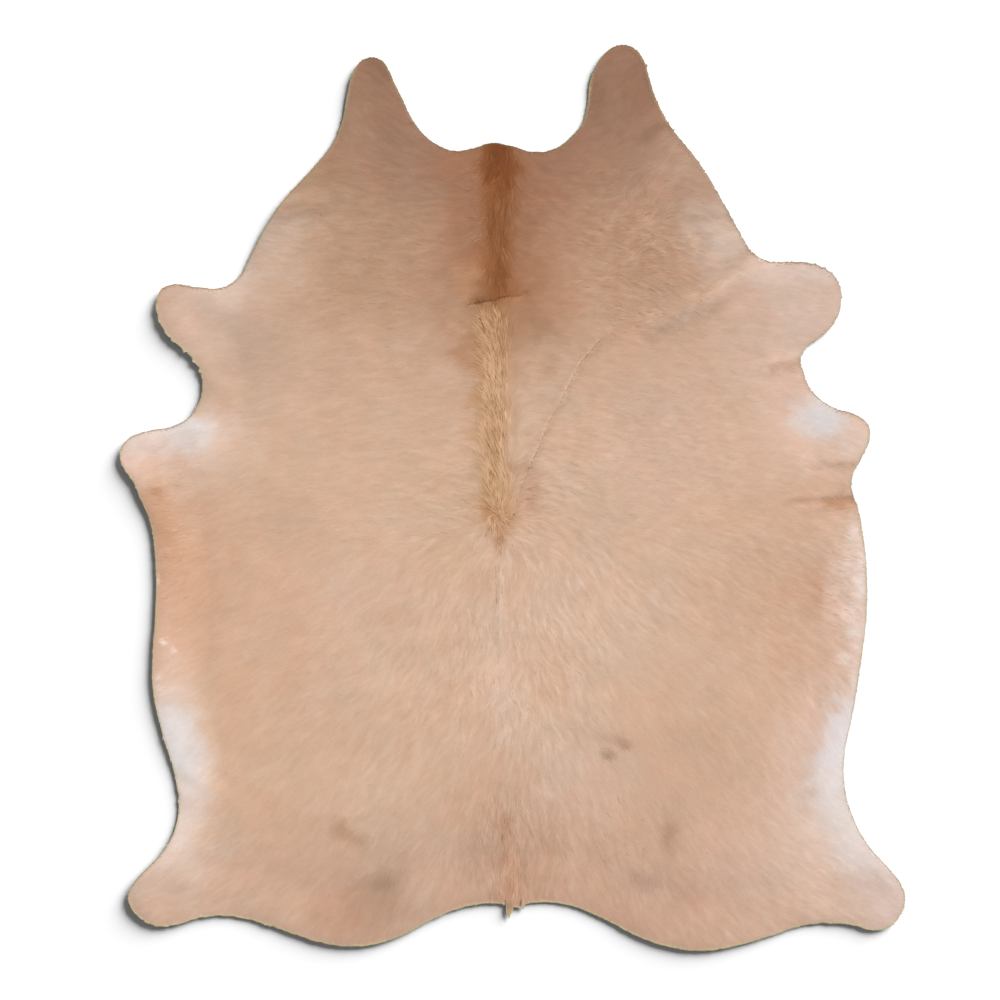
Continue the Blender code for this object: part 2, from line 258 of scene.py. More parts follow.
# Patches of another colour: across, along, reach along and across a line at the
# turn in degrees, sRGB hex, strength, softness of the border as a share of the reach
PATCHES = (
    ("left ear", -345, 920, 120, 140, 0, "aa856c", 0.8, 0.3),
    ("left ear inner side", -300, 1020, 40, 55, 0, "8d6a54", 0.9, 0.3),
    ("right ear", 270, 935, 140, 140, 0, "9d755d", 0.9, 0.3),
    ("right ear inner side", 188, 960, 26, 60, 0, "8f6852", 0.6, 0.3),
    ("right ear outer side", 315, 1005, 35, 60, 0, "906953", 0.85, 0.3),
    ("poll", -20, 775, 250, 85, 0, "926a55", 0.8, 0.35),
    ("right of the poll", 400, 790, 90, 90, 0, "be9b84", 0.6, 0.3),
    ("neck", -25, 560, 190, 190, 0, "af8366", 0.6, 0.35),
    ("left neck side", -600, 590, 160, 75, 55, "d6c0b2", 0.9, 0.25),
    ("right neck side", 490, 590, 160, 80, -60, "d3b8a7", 0.9, 0.25),
    # Paler below the right neck fold: painted light on the fold's lit side
    ("right neck fold painted light", 492, 620, 72, 46, -30, "dec7b9", 0.75, 0.3),
    ("left neck", -430, 605, 170, 140, 0, "ba977c", 0.55, 0.3),
    ("left neck inner", -290, 545, 90, 80, 0, "b38c6f", 0.5, 0.4),
    ("left neck high", -470, 758, 88, 62, 0, "a78266", 0.85, 0.3),
    ("left neck low", -535, 535, 60, 60, 0, "d2b39c", 0.75, 0.3),
    ("left of the mane", -112, 685, 42, 120, 0, "9d6e50", 0.7, 0.3),
    ("right of the mane", 26, 700, 30, 95, 0, "99694b", 0.6, 0.3),
    ("right neck by the mane", 196, 774, 42, 36, 0, "b58b70", 0.5, 0.4),
    ("left of the mane foot", -105, 495, 34, 45, 0, "b48765", 0.7, 0.3),
    ("right neck", 290, 570, 170, 130, 0, "b89277", 0.6, 0.3),
    ("left leg bend", -700, 480, 90, 60, 0, "dec8b9", 0.8, 0.3),
    ("left fore leg", -780, 405, 110, 75, 0, "c6a996", 0.8, 0.3),
    ("left fore leg foot", -675, 328, 130, 85, 0, "bb9e8a", 0.8, 0.3),
    ("right fore leg", 700, 440, 140, 105, 0, "dec2b2", 0.9, 0.3),
    ("right leg top", 665, 535, 95, 36, 0, "e0cabe", 0.8, 0.3),
    ("right leg foot", 655, 325, 75, 75, 0, "d7baa9", 0.8, 0.3),
    ("right leg root", 545, 390, 70, 95, 0, "caa790", 0.75, 0.3),
    ("left armpit border", -800, 100, 155, 88, 8, "e6cbba", 0.9, 0.3),
    ("left armpit", -815, 138, 110, 42, 4, "e6d6cf", 0.9, 0.25),
    ("left armpit white", -752, 153, 46, 40, -15, "dedad9", 0.95, 0.2),
    ("left elbow pink", -905, 83, 14, 16, 40, "f0cdc6", 0.95, 0.2),
    # The armpit's pale border, made paler still to offset the shade beside the crease: partly its
    # own colour, partly painted light
    ("right armpit border", 695, 130, 130, 90, 0, "e4c2ae", 0.78, 0.3),
    ("right armpit lobe", 800, 150, 62, 52, 0, "e8c8b6", 0.9, 0.3),
    ("right armpit", 705, 197, 68, 54, -15, "e8dad5", 0.95, 0.14),
    ("right armpit white", 722, 196, 56, 40, -15, "dfdad9", 0.9, 0.25),
    ("right armpit tan", 640, 245, 50, 26, 30, "d3b09b", 0.7, 0.3),
    ("left belly", -815, -75, 95, 130, 15, "bb8f73", 0.85, 0.3),
    ("left belly smear", -836, 10, 22, 13, -50, "a8795c", 0.75, 0.3),
    ("left belly streaks", -792, -115, 62, 22, -68, "b4845f", 0.65, 0.4),
    ("left barrel brown", -722, -252, 44, 40, 0, "bd8c67", 0.5, 0.45),
    ("left side", -745, -225, 95, 175, -10, "c79c80", 0.85, 0.3),
    ("left barrel", -610, -190, 130, 200, 0, "cfa78a", 0.7, 0.35),
    ("right side", 675, -240, 70, 190, 5, "cba389", 0.75, 0.3),
    ("right barrel", 530, -265, 170, 210, 0, "cea78b", 0.85, 0.35),
    ("right elbow", 740, -5, 70, 50, 0, "cfa58c", 0.45, 0.3),
    ("left belly spots", -812, -350, 32, 95, 5, "cfae9a", 0.5, 0.3),
    ("left belly dab high", -832, -193, 6, 9, 20, "ecd6ca", 0.9, 0.2),
    ("left belly dab middle", -812, -341, 8, 8, -20, "efddd2", 0.9, 0.2),
    ("left belly dab inner", -787, -360, 12, 8, -15, "e6cec1", 0.8, 0.25),
    ("left belly dab low", -827, -416, 8, 8, 0, "efdfd6", 0.9, 0.2),
    ("left belly dab lowest", -818, -446, 9, 9, 0, "f0e4de", 0.8, 0.25),
    ("left flank pale", -805, -470, 60, 95, 0, "d6bcad", 0.7, 0.3),
    ("left flank", -780, -585, 70, 112, 10, "d8d1cf", 0.95, 0.14),
    ("right belly edge", 808, -270, 36, 235, 2, "eacfc0", 0.92, 0.25),
    ("right belly white high", 793, -82, 15, 26, 10, "ecdbd3", 0.6, 0.25),
    ("right belly white edge", 822, -145, 12, 34, 0, "efe2dc", 0.6, 0.25),
    ("right belly white inner", 774, -172, 14, 22, 20, "eddcd3", 0.6, 0.25),
    ("right belly white middle", 815, -215, 14, 22, 0, "efe2dc", 0.6, 0.25),
    ("right belly white curl", 779, -270, 13, 24, -20, "ead6cb", 0.6, 0.25),
    ("right belly white low", 800, -318, 17, 18, 0, "ecdbd2", 0.6, 0.25),
    ("right belly white spot", 770, -377, 12, 13, 0, "f0e4de", 0.8, 0.2),
    ("right belly white end", 795, -432, 15, 26, 0, "eddfd8", 0.6, 0.25),
    ("right belly brown", 714, -205, 24, 60, 0, "c2967a", 0.65, 0.35),
    ("right belly warm", 757, -245, 30, 115, 0, "e6c2ad", 0.8, 0.3),
    ("right flank pale", 720, -570, 80, 160, 0, "dfbeab", 0.8, 0.3),
    ("right flank", 768, -600, 60, 130, -16, "e6dddc", 0.97, 0.14),
    ("left hind leg top", -792, -755, 140, 58, 62, "dfcfc6", 0.92, 0.25),
    ("left hind leg", -800, -885, 105, 55, 20, "d3b8a7", 0.75, 0.3),
    ("left hind leg end", -805, -960, 120, 55, 0, "bd9e8a", 0.7, 0.3),
    ("left hind leg smudge", -750, -965, 60, 22, 0, "c8a78f", 0.5, 0.3),
    ("right hind leg", 715, -825, 140, 110, -20, "e1c6b5", 0.8, 0.3),
    ("right hind leg top", 815, -818, 190, 66, -60, "eedfd8", 0.95, 0.25),
    ("right hind leg end", 870, -940, 75, 60, 0, "d8beb1", 0.85, 0.3),
    ("right leg shade", 725, -935, 80, 38, 0, "cba994", 0.6, 0.35),
    ("right rump", 520, -840, 160, 110, 0, "d4b19c", 0.6, 0.35),
    ("right hip pink", 166, -665, 130, 90, 0, "d4b4a2", 0.5, 0.4),
    ("rump right high", 268, -785, 60, 38, 0, "c19b82", 0.5, 0.4),
    ("rump right", 200, -850, 120, 60, 0, "c7a38b", 0.6, 0.35),
    ("right hip", 415, -640, 140, 120, 0, "c8a188", 0.6, 0.3),
    ("left hip", -570, -640, 110, 120, 0, "cfa88b", 0.5, 0.3),
    ("left ribs", -506, -79, 70, 60, 0, "c5a188", 0.5, 0.4),
    ("left of the whorl", -159, -147, 60, 55, 0, "cca788", 0.5, 0.4),
    ("right barrel tan", 434, -271, 60, 60, 0, "c8a58d", 0.5, 0.4),
    ("right elbow pale", 753, -58, 32, 32, 0, "e3bba3", 0.5, 0.4),
    ("right neck fold foot", 537, 598, 28, 28, 0, "c5aa97", 0.5, 0.4),
    ("right ribs", 345, 110, 165, 150, 0, "d2b09b", 0.8, 0.4),
    ("left side warm", -640, -470, 80, 150, 0, "d2a98c", 0.5, 0.4),
    ("right shoulder foot", 215, 215, 75, 60, 0, "c9a68d", 0.5, 0.4),
    ("right shoulder foot high", 250, 300, 50, 40, 0, "c5a088", 0.5, 0.4),
    ("barrel light", 185, -320, 230, 160, 0, "d8b79f", 0.5, 0.3),
    ("barrel warm left", -430, -215, 210, 165, 0, "d1ab92", 0.4, 0.3),
    ("shoulder tan right", 630, 275, 95, 85, 0, "d8b8a4", 0.6, 0.3),
    ("right shoulder pale", 345, 410, 45, 30, 0, "d3b199", 0.5, 0.4),
    ("loin pale", -10, -475, 48, 95, 0, "dabba6", 0.5, 0.3),
    ("hips middle", -42, -680, 60, 60, 0, "c39c82", 0.5, 0.4),
    ("tail head", 0, -880, 120, 105, 0, "b28b73", 0.7, 0.35),
    ("behind the whorl", -45, -200, 55, 60, 0, "cfa98c", 0.6, 0.35),
    ("right of the tail", 310, -962, 125, 70, 0, "b8917a", 0.82, 0.35),
    ("left of the tail", -335, -995, 85, 50, 0, "b6917a", 0.75, 0.35),
    ("grey smudge high", 251, -571, 22, 8, -24, "a98973", 0.85, 0.25),
    ("grey smudge haze", 228, -562, 26, 16, -20, "bf9c85", 0.45, 0.4),
    ("grey smudge low", 222, -606, 19, 10, -20, "a88b75", 0.85, 0.25),
    ("brown smudge left", -400, -772, 13, 20, 0, "b08c73", 0.75, 0.4),
    ("brown smudge left below", -368, -798, 38, 16, -20, "b08d74", 0.8, 0.4),
    ("brown smudge right haze", 345, -785, 65, 60, 0, "c6a289", 0.6, 0.4),
    ("brown smudge right", 357, -790, 17, 32, 0, "ad886e", 0.85, 0.35),
    ("rump smudge haze", -325, -948, 60, 60, 0, "ae8a72", 0.75, 0.4),
    ("rump smudge", -300, -906, 36, 24, 0, "a28069", 0.85, 0.35),
    ("rump red spot", -375, -965, 72, 52, 0, "ae8870", 0.75, 0.4),
    ("rump smudge right haze", 290, -905, 62, 42, 0, "be9c85", 0.6, 0.35),
    ("rump smudge right", 300, -898, 25, 18, 0, "aa8a77", 0.7, 0.4),
    ("withers smudge", 10, 65, 20, 15, 0, "b08a70", 0.7, 0.3),
)

# Stripes of another colour: sRGB hex, strength, half width, softness of the
# border as a share of the half width, then the line
STRIPES = (
    ("reddish halo", "a17458", 0.82, 96, 0.3, ((-26, 826), (-32, 723), (-32, 605), (-12, 499))),
    ("crest shoulders", "aa7b5a", 0.8, 72, 0.3, ((-16, 488), (-28, 452), (-32, 395))),
    # Under the golden crest the coat is darker than the strands on it: partly its own colour and
    # partly painted shade under the strands
    ("golden crest", "b98c63", 0.8, 31, 0.35, ((-48, 430), (-48, 300), (-45, 135), (-40, -30))),
    ("mane fringe", "935f3f", 0.6, 42, 0.25, ((-28, 826), (-32, 700), (-36, 600), (-34, 500))),
    # Paler than the coat there, to offset the shade of the mane's slope: painted light
    ("beside the mane foot", "c49472", 0.7, 26, 0.5, ((-100, 522), (-97, 480))),
    ("dark mane", "763f19", 0.95, 31, 0.25, ((-29, 829), (-31, 752))),
    ("dark mane foot", "935d35", 0.9, 24, 0.35, (
        (-32, 725), (-33, 640), (-34, 560), (-34, 500), (-34, 470))),
    ("whorl", "b27850", 0.6, 12, 0.5, ((-50, -40), (-40, -46), (-36, -70), (-32, -96))),
    ("parting", "dcc1aa", 0.4, 4, 0.4, ((-31, -160), (-31, -230), (-32, -345))),
    ("parting below", "dcc2ae", 0.35, 14, 0.5, ((-30, -360), (-24, -460), (-16, -560))),
    ("crest meeting shade", "8f6242", 0.6, 11, 0.5, ((-84, 468), (-60, 474), (-38, 482))),
    # The dark crest meeting line is painted shade in the cleft where the hair from the head meets
    # the hair from the whorl
    ("crest meeting line", "7a4d29", 0.95, 4.5, 0.3, ((-86, 459), (-60, 463), (-34, 468))),
    ("crest meeting end", "794c2a", 0.9, 3.5, 0.3, ((-29, 472), (-10, 474))),
    ("crest meeting tail", "96694a", 0.7, 3.0, 0.4, ((-10, 474), (28, 477))),
    # The scar's darker line: partly its own colour and partly painted shade in its groove
    ("shoulder scar", "b48e74", 0.5, 5, 0.4, SCAR_LINE),
    ("tail ridge", "b88c71", 0.6, 12, 0.5, (
        (-20, -745), (-18, -800), (0, -850), (4, -890), (-8, -945))),
    ("scar smudge", "b4866c", 0.55, 14, 0.5, ((48, 32), (34, -20))),
    # Darker in the crease at the ear's root: painted shade
    ("ear root crease", "8c6a52", 0.7, 11, 0.5, ((372, 872), (345, 866), (312, 846))),
    ("right shoulder fold shade", "b08f78", 0.5, 12, 0.5, ((556, 574), (505, 534), (445, 484))),
    ("right shoulder fold light", "dcc0ac", 0.5, 9, 0.5, (
        (580, 556), (500, 500), (424, 445), (365, 408))),
    # Darker in the hollow of the right shoulder: painted shade
    ("right shoulder hollow shade", "b69178", 0.1, 22, 0.5, ((450, 425), (390, 385), (350, 410))),
    ("right neck fold shade", "ad8b73", 0.5, 9, 0.5, ((523, 664), (470, 655), (347, 647))),
    ("right neck fold light", "d0ac92", 0.5, 9, 0.5, ((523, 655), (470, 628), (417, 605))),
    ("right neck brown", "ae886e", 0.6, 30, 0.5, ((360, 700), (430, 720))),
    # The crease stripes that follow are darker in the creases of the armpit, the flank and the
    # elbow: painted shade
    ("right armpit crease", "b08c72", 0.6, 8, 0.5, ((676, 323), (640, 312), (604, 304))),
    ("right flank crease", "ab7a58", 0.75, 11, 0.5, ((822, -3), (775, -7), (735, -11))),
    ("right flank crease inner", "c0967b", 0.4, 7, 0.5, ((735, -11), (640, -13))),
    ("right flank crease high", "bb9075", 0.5, 7, 0.5, ((805, 76), (770, 73))),
    # The three neck stripes below are darker bands in the folds of the left neck and shoulder:
    # painted shade
    ("left neck crease shade high", "a58063", 0.55, 7, 0.5, ((-428, 759), (-412, 745))),
    ("left neck crease shade", "ac876b", 0.5, 10, 0.5, ((-534, 676), (-490, 685), (-452, 688))),
    ("left neck crease shade low", "ae896e", 0.3, 9, 0.5, ((-500, 582), (-470, 600), (-428, 628))),
)

# Where the coat is rougher than on the back: across, along, reach, more
ROUGH_PLACES = (
    ("right shoulder swirl", 300, 600, 130, 1.7),
    ("left neck", -450, 600, 160, 0.5),
    ("neck left", -250, 600, 180, 0.4),
    ("neck right", 180, 600, 150, 0.4),
    ("right hip", 330, -560, 220, -0.3),
    ("left armpit", -760, 150, 110, -0.5),
    ("right armpit", 720, 190, 100, -0.5),
    ("left flank", -790, -570, 150, -0.5),
    ("right belly", 800, -240, 190, 0.55),
    ("right flank", 780, -620, 130, -0.5),
    ("loin", -30, -380, 270, 1.3),
    ("left loin", -290, -280, 150, 0.4),
    ("right loin", 260, -490, 170, -0.45),
    ("withers", -30, 20, 160, 1.1),
    ("dark mane", -32, 690, 90, 1.2),
    ("whorl", -40, -60, 55, 1.2),
    ("tail head", -10, -880, 110, 1.2),
    ("rump", 0, -780, 300, 0.2),
    ("left fore leg", -740, 420, 150, -0.5),
    ("right fore leg", 740, 440, 130, -0.4),
)

# Places of wavy, ruffled tufts: tufts, middle across and along, reach across and
# along, length, width, difference in tone
RUFFLED_PLACES = (
    ("right shoulder swirl", 520, 310, 580, 120, 130, 26, 4.4, 0.08),
    ("mane left side", 150, -78, 690, 15, 125, 22, 3.6, 0.12),
    ("scar top", 160, 276, 429, 60, 45, 24, 4.4, 0.08),
    ("scar foot", 70, 34, -2, 15, 55, 20, 3.4, 0.14),
    ("right shoulder top", 160, 260, 740, 130, 60, 22, 4.4, 0.05),
    ("left shoulder", 240, -330, 520, 150, 120, 22, 4.4, 0.04),
    ("loin", 950, -30, -400, 170, 250, 26, 4.6, 0.045),
    ("withers", 460, -30, 0, 130, 110, 24, 4.4, 0.05),
    ("right ribs", 300, 260, 120, 170, 160, 24, 4.4, 0.04),
    ("left barrel", 300, -400, -200, 200, 220, 26, 4.6, 0.035),
    ("rump", 450, 0, -800, 330, 110, 24, 4.4, 0.04),
    ("left belly", 150, -780, -110, 45, 140, 24, 4.0, 0.07),
    ("right belly", 170, 770, -190, 32, 150, 24, 4.0, 0.07),
)

# Long hair on the back: strands, length, width, rise over the coat, half width of
# the row where its line starts and ends, difference in tone of its tufts, which is
# partly painted light on the higher tufts and painted shade between them, sRGB hex
# and its share, then the row's line
MANE_ROWS = (
    ("dark mane", 1000, 36, 4.6, 0.45, 29, 23, 0.11, "7d4a28", 0.5, (
        (-30, 835), (-32, 700), (-34, 600), (-35, 480))),
    ("mane fringe", 340, 24, 3.4, 0.4, 52, 42, 0.1, "a47350", 0.4, (
        (-30, 800), (-32, 700), (-34, 600), (-34, 505))),
    ("golden crest", 1320, 34, 5.0, 0.45, 37, 27, 0.12, "c89f78", 0.72, (
        (-48, 433), (-48, 300), (-45, 135), (-38, -30))),
    ("golden crest top", 260, 34, 5.0, 0.4, 38, 38, 0.08, "a5744f", 0.7, (
        (-42, 440), (-45, 330))),
    # Dark strands between the tufts: painted shade in the gaps
    ("golden crest gap shade", 420, 24, 3.0, 0.5, 35, 24, 0.03, "99663c", 0.85, (
        (-48, 430), (-48, 300), (-45, 135), (-38, -30))),
    ("golden crest strands", 345, 30, 3.6, 0.6, 38, 26, 0.04, "d2ac88", 0.75, (
        (-48, 420), (-48, 300), (-45, 135), (-38, -30))),
    ("whorl", 100, 26, 3.4, 0.5, 22, 14, 0.12, "c4926c", 0.5, ((-42, -30), (-35, -84))),
    ("whorl pale", 70, 24, 3.0, 0.7, 24, 16, 0.05, "dab897", 0.7, ((-44, -28), (-36, -88))),
    # Dark strands between the whorl's tufts: painted shade in the gaps
    ("whorl gap shade", 26, 22, 2.6, 0.5, 18, 10, 0.03, "ab744c", 0.75, ((-42, -40), (-35, -78))),
    ("tail ridge", 260, 28, 3.6, 0.45, 26, 14, 0.12, "b3896a", 0.4, (
        (-20, -745), (-16, -800), (2, -860), (-6, -940))),
    ("tail side", 420, 28, 3.8, 0.4, 90, 40, 0.1, "bd957a", 0.15, (
        (-30, -700), (-20, -850), (-8, -950))),
    ("tail pale", 60, 30, 2.8, 0.5, 46, 20, 0.04, "d3ae90", 0.5, (
        (-24, -760), (-8, -860), (-4, -945))),
    ("below the whorl", 60, 28, 2.6, 0.5, 16, 12, 0.05, "bb9270", 0.4, ((-36, -72), (-31, -130))),
)

# Short hair that lies along a line and parts the coat there: hairs, length,
# width, spread across the line, rise, sRGB hex, then the line
PARTED_LINES = (
    # The dark hairs of the crest meeting draw the same painted shade in the cleft
    ("crest meeting", 260, 13, 1.5, 1.0, 0.35, "805232", ((-87, 458), (-60, 462), (-36, 466))),
    ("crest meeting end", 90, 11, 1.4, 0.8, 0.4, "7c4e2a", ((-34, 469), (-8, 474))),
    ("crest meeting tail", 40, 10, 1.2, 0.5, 0.4, "92694a", ((-8, 474), (28, 477))),
    ("crest parting", 26, 12, 1.2, 0.4, 0.4, "8a6040", ((-76, 420), (-68, 404), (-64, 385))),
    ("crest parting below", 14, 12, 1.2, 0.4, 0.4, "94683f", ((-60, 330), (-58, 300))),
    # The scar's dark hairs are partly its own colour and partly painted shade in its groove; the
    # pale ones on its lip are a painted highlight
    ("shoulder scar dark", 180, 7, 1.3, 0.9, 0.2, "8c6a52", SCAR_LINE),
    ("shoulder scar lip highlight", 110, 8, 1.5, 1.2, 0.15, "d8bb9f", (
        (203, 373), (156, 316), (113, 230), (85, 183), (57, 113), (29, 54),
        (10, 2))),
    ("parting dark", 30, 10, 1.0, 0.9, 0.1, "bd987b", ((-40, -150), (-39, -190), (-37, -250))),
    ("parting dark right", 22, 9, 1.0, 0.9, 0.1, "bd987b", ((-22, -165), (-26, -225))),
    ("parting pale", 110, 13, 1.3, 1.0, 0.1, "dabea6", (
        (-31, -160), (-31, -230), (-32, -348))),
    ("whorl curl", 26, 10, 1.2, 0.6, 0.3, "a0754f", ((-38, -62), (-32, -84), (-29, -112))),
    ("whorl curl left", 16, 9, 1.2, 0.6, 0.3, "a87e58", ((-48, -60), (-56, -76), (-66, -92))),
)

# Where the cut edge is frayed: across, along, reach, depth of its teeth in millimetres
RAGGED_EDGES = (
    ("under the left fore leg", -770, 330, 75, 2.6),
    ("left fore leg foot", -835, 420, 45, 1.6),
    ("left fore leg top", -760, 500, 60, 1.2),
    ("left elbow", -890, 40, 35, 0.8),
    ("left hind leg below", -750, -960, 90, 1.2),
    ("left rump below", -560, -985, 80, 1.8),
    ("right hind leg below", 750, -975, 60, 2.0),
    ("right fore leg top", 700, 545, 90, 1.2),
    ("right armpit", 680, 340, 50, 1.2),
    ("right neck", 520, 660, 110, 1.0),
)

# Tint of the hair tips along the cut edge, by the way the edge faces: degrees
# from +X, sRGB hex. Where the edge faces the head the tint is dark, as painted
# shade along the edge
RIM_TINTS = (
    ("faces right", 0, "a39d84"),
    ("faces the head", 90, "5f4c34"),
    ("faces left", 180, "c6bd94"),
    ("faces the tail", 270, "cec694"),
    ("faces right again", 360, "a39d84"),
)

# The tail tuft starts here and the skin's outline leaves it out, up to this far
# from its middle: it is hair and not skin
TAIL_START = -950 * MM
TAIL_MIDDLE = -5 * MM
TAIL_HALF_WIDTH = 19 * MM

# Tufts of the tail: middle across, half width and place of the tip in millimetres,
# and lean in radians. Then the share of the strands that the side wisp takes, and
# the colours of the coat there and of the tips
TAIL_TUFTS = (
    ("main tuft", -5, 11, -992, -0.1),
    ("side wisp", 21, 4, -962, 0),
)
SIDE_WISP_SHARE = 0.08
TAIL_COAT = "c39c7c"
TAIL_TIP = "cdbf93"

# Shape of one hair: where a narrow root has its full width, how much narrower the
# tip is, how much it sways and where along it the hump leans
WIDE_FROM = 0.4
TIP_TAPER = 0.75
SWAY = 0.5
HUMP_LEAN = 0.8

# How far single hairs stray from the lie in the coat, at the edge and on a line
COAT_STRAY = math.radians(6)
EDGE_STRAY = math.radians(7)
LINE_STRAY = math.radians(3)

# Tips of the locks stay this far inside the cut edge, or else the locks are shorter
LOCK_MARGIN = 1.5 * MM
SHORTEST_LOCK = 0.2

# Locks lean together to tufts of this pitch, by this share, and stand up a little
# towards the middle of a tuft of this reach
TUFT_PITCH = 10 * MM
TUFT_PULL = 0.38
TUFT_REACH = 7 * MM
TUFT_LOFT = 0.14

# Difference in tone that a streak makes
STREAK_TONE = 0.013

# Stage: half width of the floor, colour and distance of the main light, width of
# the camera's sensor in millimetres and how far it sees in metres
FLOOR_REACH = 60
KEY_COLOUR = (0.985, 0.988, 1.0)
KEY_DISTANCE = 4
SENSOR_WIDTH = 36
CAMERA_SIGHT = 200

Raster = namedtuple("Raster", "values left bottom step")
Hairs = namedtuple("Hairs", "place turn length width bend root rise colour tip_colour")
Shape = namedtuple("Shape", "edge inside underside leather top slope flow streak")


def srgb_shares(code):
    """Read an sRGB hex code as three shares from 0 to 1."""
    return np.array([int(code[place:place + 2], 16) / 255 for place in (0, 2, 4)])


def linear_light(shares):
    """Turn sRGB shares from 0 to 1 into linear light."""
    return np.where(shares <= 0.04045, shares / 12.92, ((shares + 0.055) / 1.055) ** 2.4)


def linear(code):
    """Turn an sRGB hex code into linear red, green and blue."""
    return tuple(linear_light(srgb_shares(code)))


class CowhideSizes(PropertyGroup):
    """Sizes of the leather and its hair."""

    leather: FloatProperty(
        name="Leather", description="Thickness of the tanned skin with its under hair",
        default=3.0 * MM, unit="LENGTH")
    rim_leather: FloatProperty(
        name="Leather at the cut", description="Thickness of the skin at its cut edge",
        default=2.6 * MM, unit="LENGTH")
    skin_pitch: FloatProperty(
        name="Skin spacing", description="Spacing of the points that shape the skin",
        default=13 * MM, unit="LENGTH")
    lock_pitch: FloatProperty(
        name="Lock spacing", description="Spacing of the locks of the short coat",
        default=4.22 * MM, unit="LENGTH")
    lock_length: FloatProperty(
        name="Lock length", description="Length of a lock of the short coat",
        default=22 * MM, unit="LENGTH")
    lock_width: FloatProperty(
        name="Lock width", description="Width of a lock at its root",
        default=5.2 * MM, unit="LENGTH")
    lock_rise: FloatProperty(
        name="Lock rise", description="How far the middle of a lock stands up",
        default=0.25 * MM, unit="LENGTH")
    streak_relief: FloatProperty(
        name="Streak relief", description="Height of the streaks in which the hair lies",
        default=0.05 * MM, unit="LENGTH")
    rim_pitch: FloatProperty(
        name="Edge hair spacing", description="Spacing of the hair tips along the cut edge",
        default=1.05 * MM, unit="LENGTH")
    tail_strands: IntProperty(
        name="Tail strands", description="Strands in the tuft at the tail root", default=150)


class CowhideColours(PropertyGroup):
    """Colours that are the same over a whole surface."""

    suede: FloatVectorProperty(
        name="Flesh side", description="Napped flesh side of the skin",
        subtype="COLOR", default=linear("d9cbb2"))
    suede_shade: FloatVectorProperty(
        name="Flesh side shade", description="Darker fibres of the flesh side",
        subtype="COLOR", default=linear("b9a88b"))
    cut_edge: FloatVectorProperty(
        name="Cut edge", description="Raw leather where the skin was cut",
        subtype="COLOR", default=linear("cfc59c"))
    paper: FloatVectorProperty(
        name="Floor", description="Pale matt studio floor",
        subtype="COLOR", default=linear("f4f4f3"))


class CowhideStudio(PropertyGroup):
    """Camera and light."""

    camera_height: FloatProperty(
        name="Camera height", description="Height of the camera over the floor",
        default=5.555, unit="LENGTH")
    camera_across: FloatProperty(
        name="Camera across", description="Place of the camera across the hide",
        default=-29.4 * MM, unit="LENGTH")
    camera_along: FloatProperty(
        name="Camera along", description="Place of the camera along the hide",
        default=-5.9 * MM, unit="LENGTH")
    lens: FloatProperty(
        name="Lens", description="Focal length", default=85, unit="CAMERA")
    key_power: FloatProperty(
        name="Key light", description="Strength of the main light", default=9.35)
    key_turn: FloatProperty(
        name="Key direction", description="Where the main light comes from, from +X",
        default=math.radians(45), subtype="ANGLE")
    key_rise: FloatProperty(
        name="Key height", description="Angle of the main light over the floor",
        default=math.radians(20), subtype="ANGLE")
    key_softness: FloatProperty(
        name="Key softness", description="Angle that the main light fills",
        default=math.radians(40), subtype="ANGLE")
    fill_power: FloatProperty(
        name="Fill light", description="Strength of the even light all round", default=0.15)


def smooth_step(share):
    """Go from 0 to 1 with flat ends as share goes from 0 to 1."""
    share = np.clip(share, 0, 1)
    return share * share * (3 - 2 * share)


def bell(share):
    """Go from 1 at share 0 to about a third at share 1 and on to nothing."""
    return np.exp(-1.2 * share * share)


def grid_axes(step):
    """Columns and rows of a grid over the hide and a margin around it."""
    low, high = CAD_BOX
    return (np.arange(low.x - GRID_MARGIN, high.x + GRID_MARGIN, step),
            np.arange(low.y - GRID_MARGIN, high.y + GRID_MARGIN, step))


def grid_places(step):
    """Places of all points of a grid over the hide."""
    columns, rows = grid_axes(step)
    return columns + 1j * rows[:, None]


def new_raster(values, step):
    """Hold values at the points of a grid over the hide."""
    columns, rows = grid_axes(step)
    return Raster(values, columns[0], rows[0], step)


def sample(raster, place, easing=None):
    """Read a raster between its points at many places."""
    # Places stay just inside the last point, so that each has a next one
    last = 1.001
    rows, columns = raster.values.shape
    across = np.clip((place.real - raster.left) / raster.step, 0, columns - last)
    along = np.clip((place.imag - raster.bottom) / raster.step, 0, rows - last)
    column = across.astype(int)
    row = along.astype(int)
    across = across - column
    along = along - row
    if easing:
        across = easing(across)
        along = easing(along)
    values = raster.values
    near = values[row, column] * (1 - across) + values[row, column + 1] * across
    far = values[row + 1, column] * (1 - across) + values[row + 1, column + 1] * across
    return near * (1 - along) + far * along


def cloud(place, size, number):
    """Smooth random values from -1 to 1 that change over a size in metres."""
    low, high = CAD_BOX
    margin = 2 * GRID_MARGIN
    columns = math.ceil((high.x - low.x + 2 * margin) / size) + 3
    rows = math.ceil((high.y - low.y + 2 * margin) / size) + 3
    values = np.random.default_rng(SEED + number).uniform(-1, 1, (rows, columns))
    return sample(Raster(values, low.x - margin, low.y - margin, size), place, smooth_step)


def clouds(place, layers):
    """Sum of clouds, each with a height, a size in millimetres and its number."""
    return sum(height * cloud(place, size * MM, number) for height, size, number in layers)


def mounds(place, rows):
    """Sum of round mounds, each with its place and reach in millimetres and a height."""
    total = np.zeros(place.shape)
    for _, across, along, reach, height in rows:
        gap = np.abs(place - complex(across, along) * MM) / (reach * MM)
        total = total + height * bell(gap)
    return total


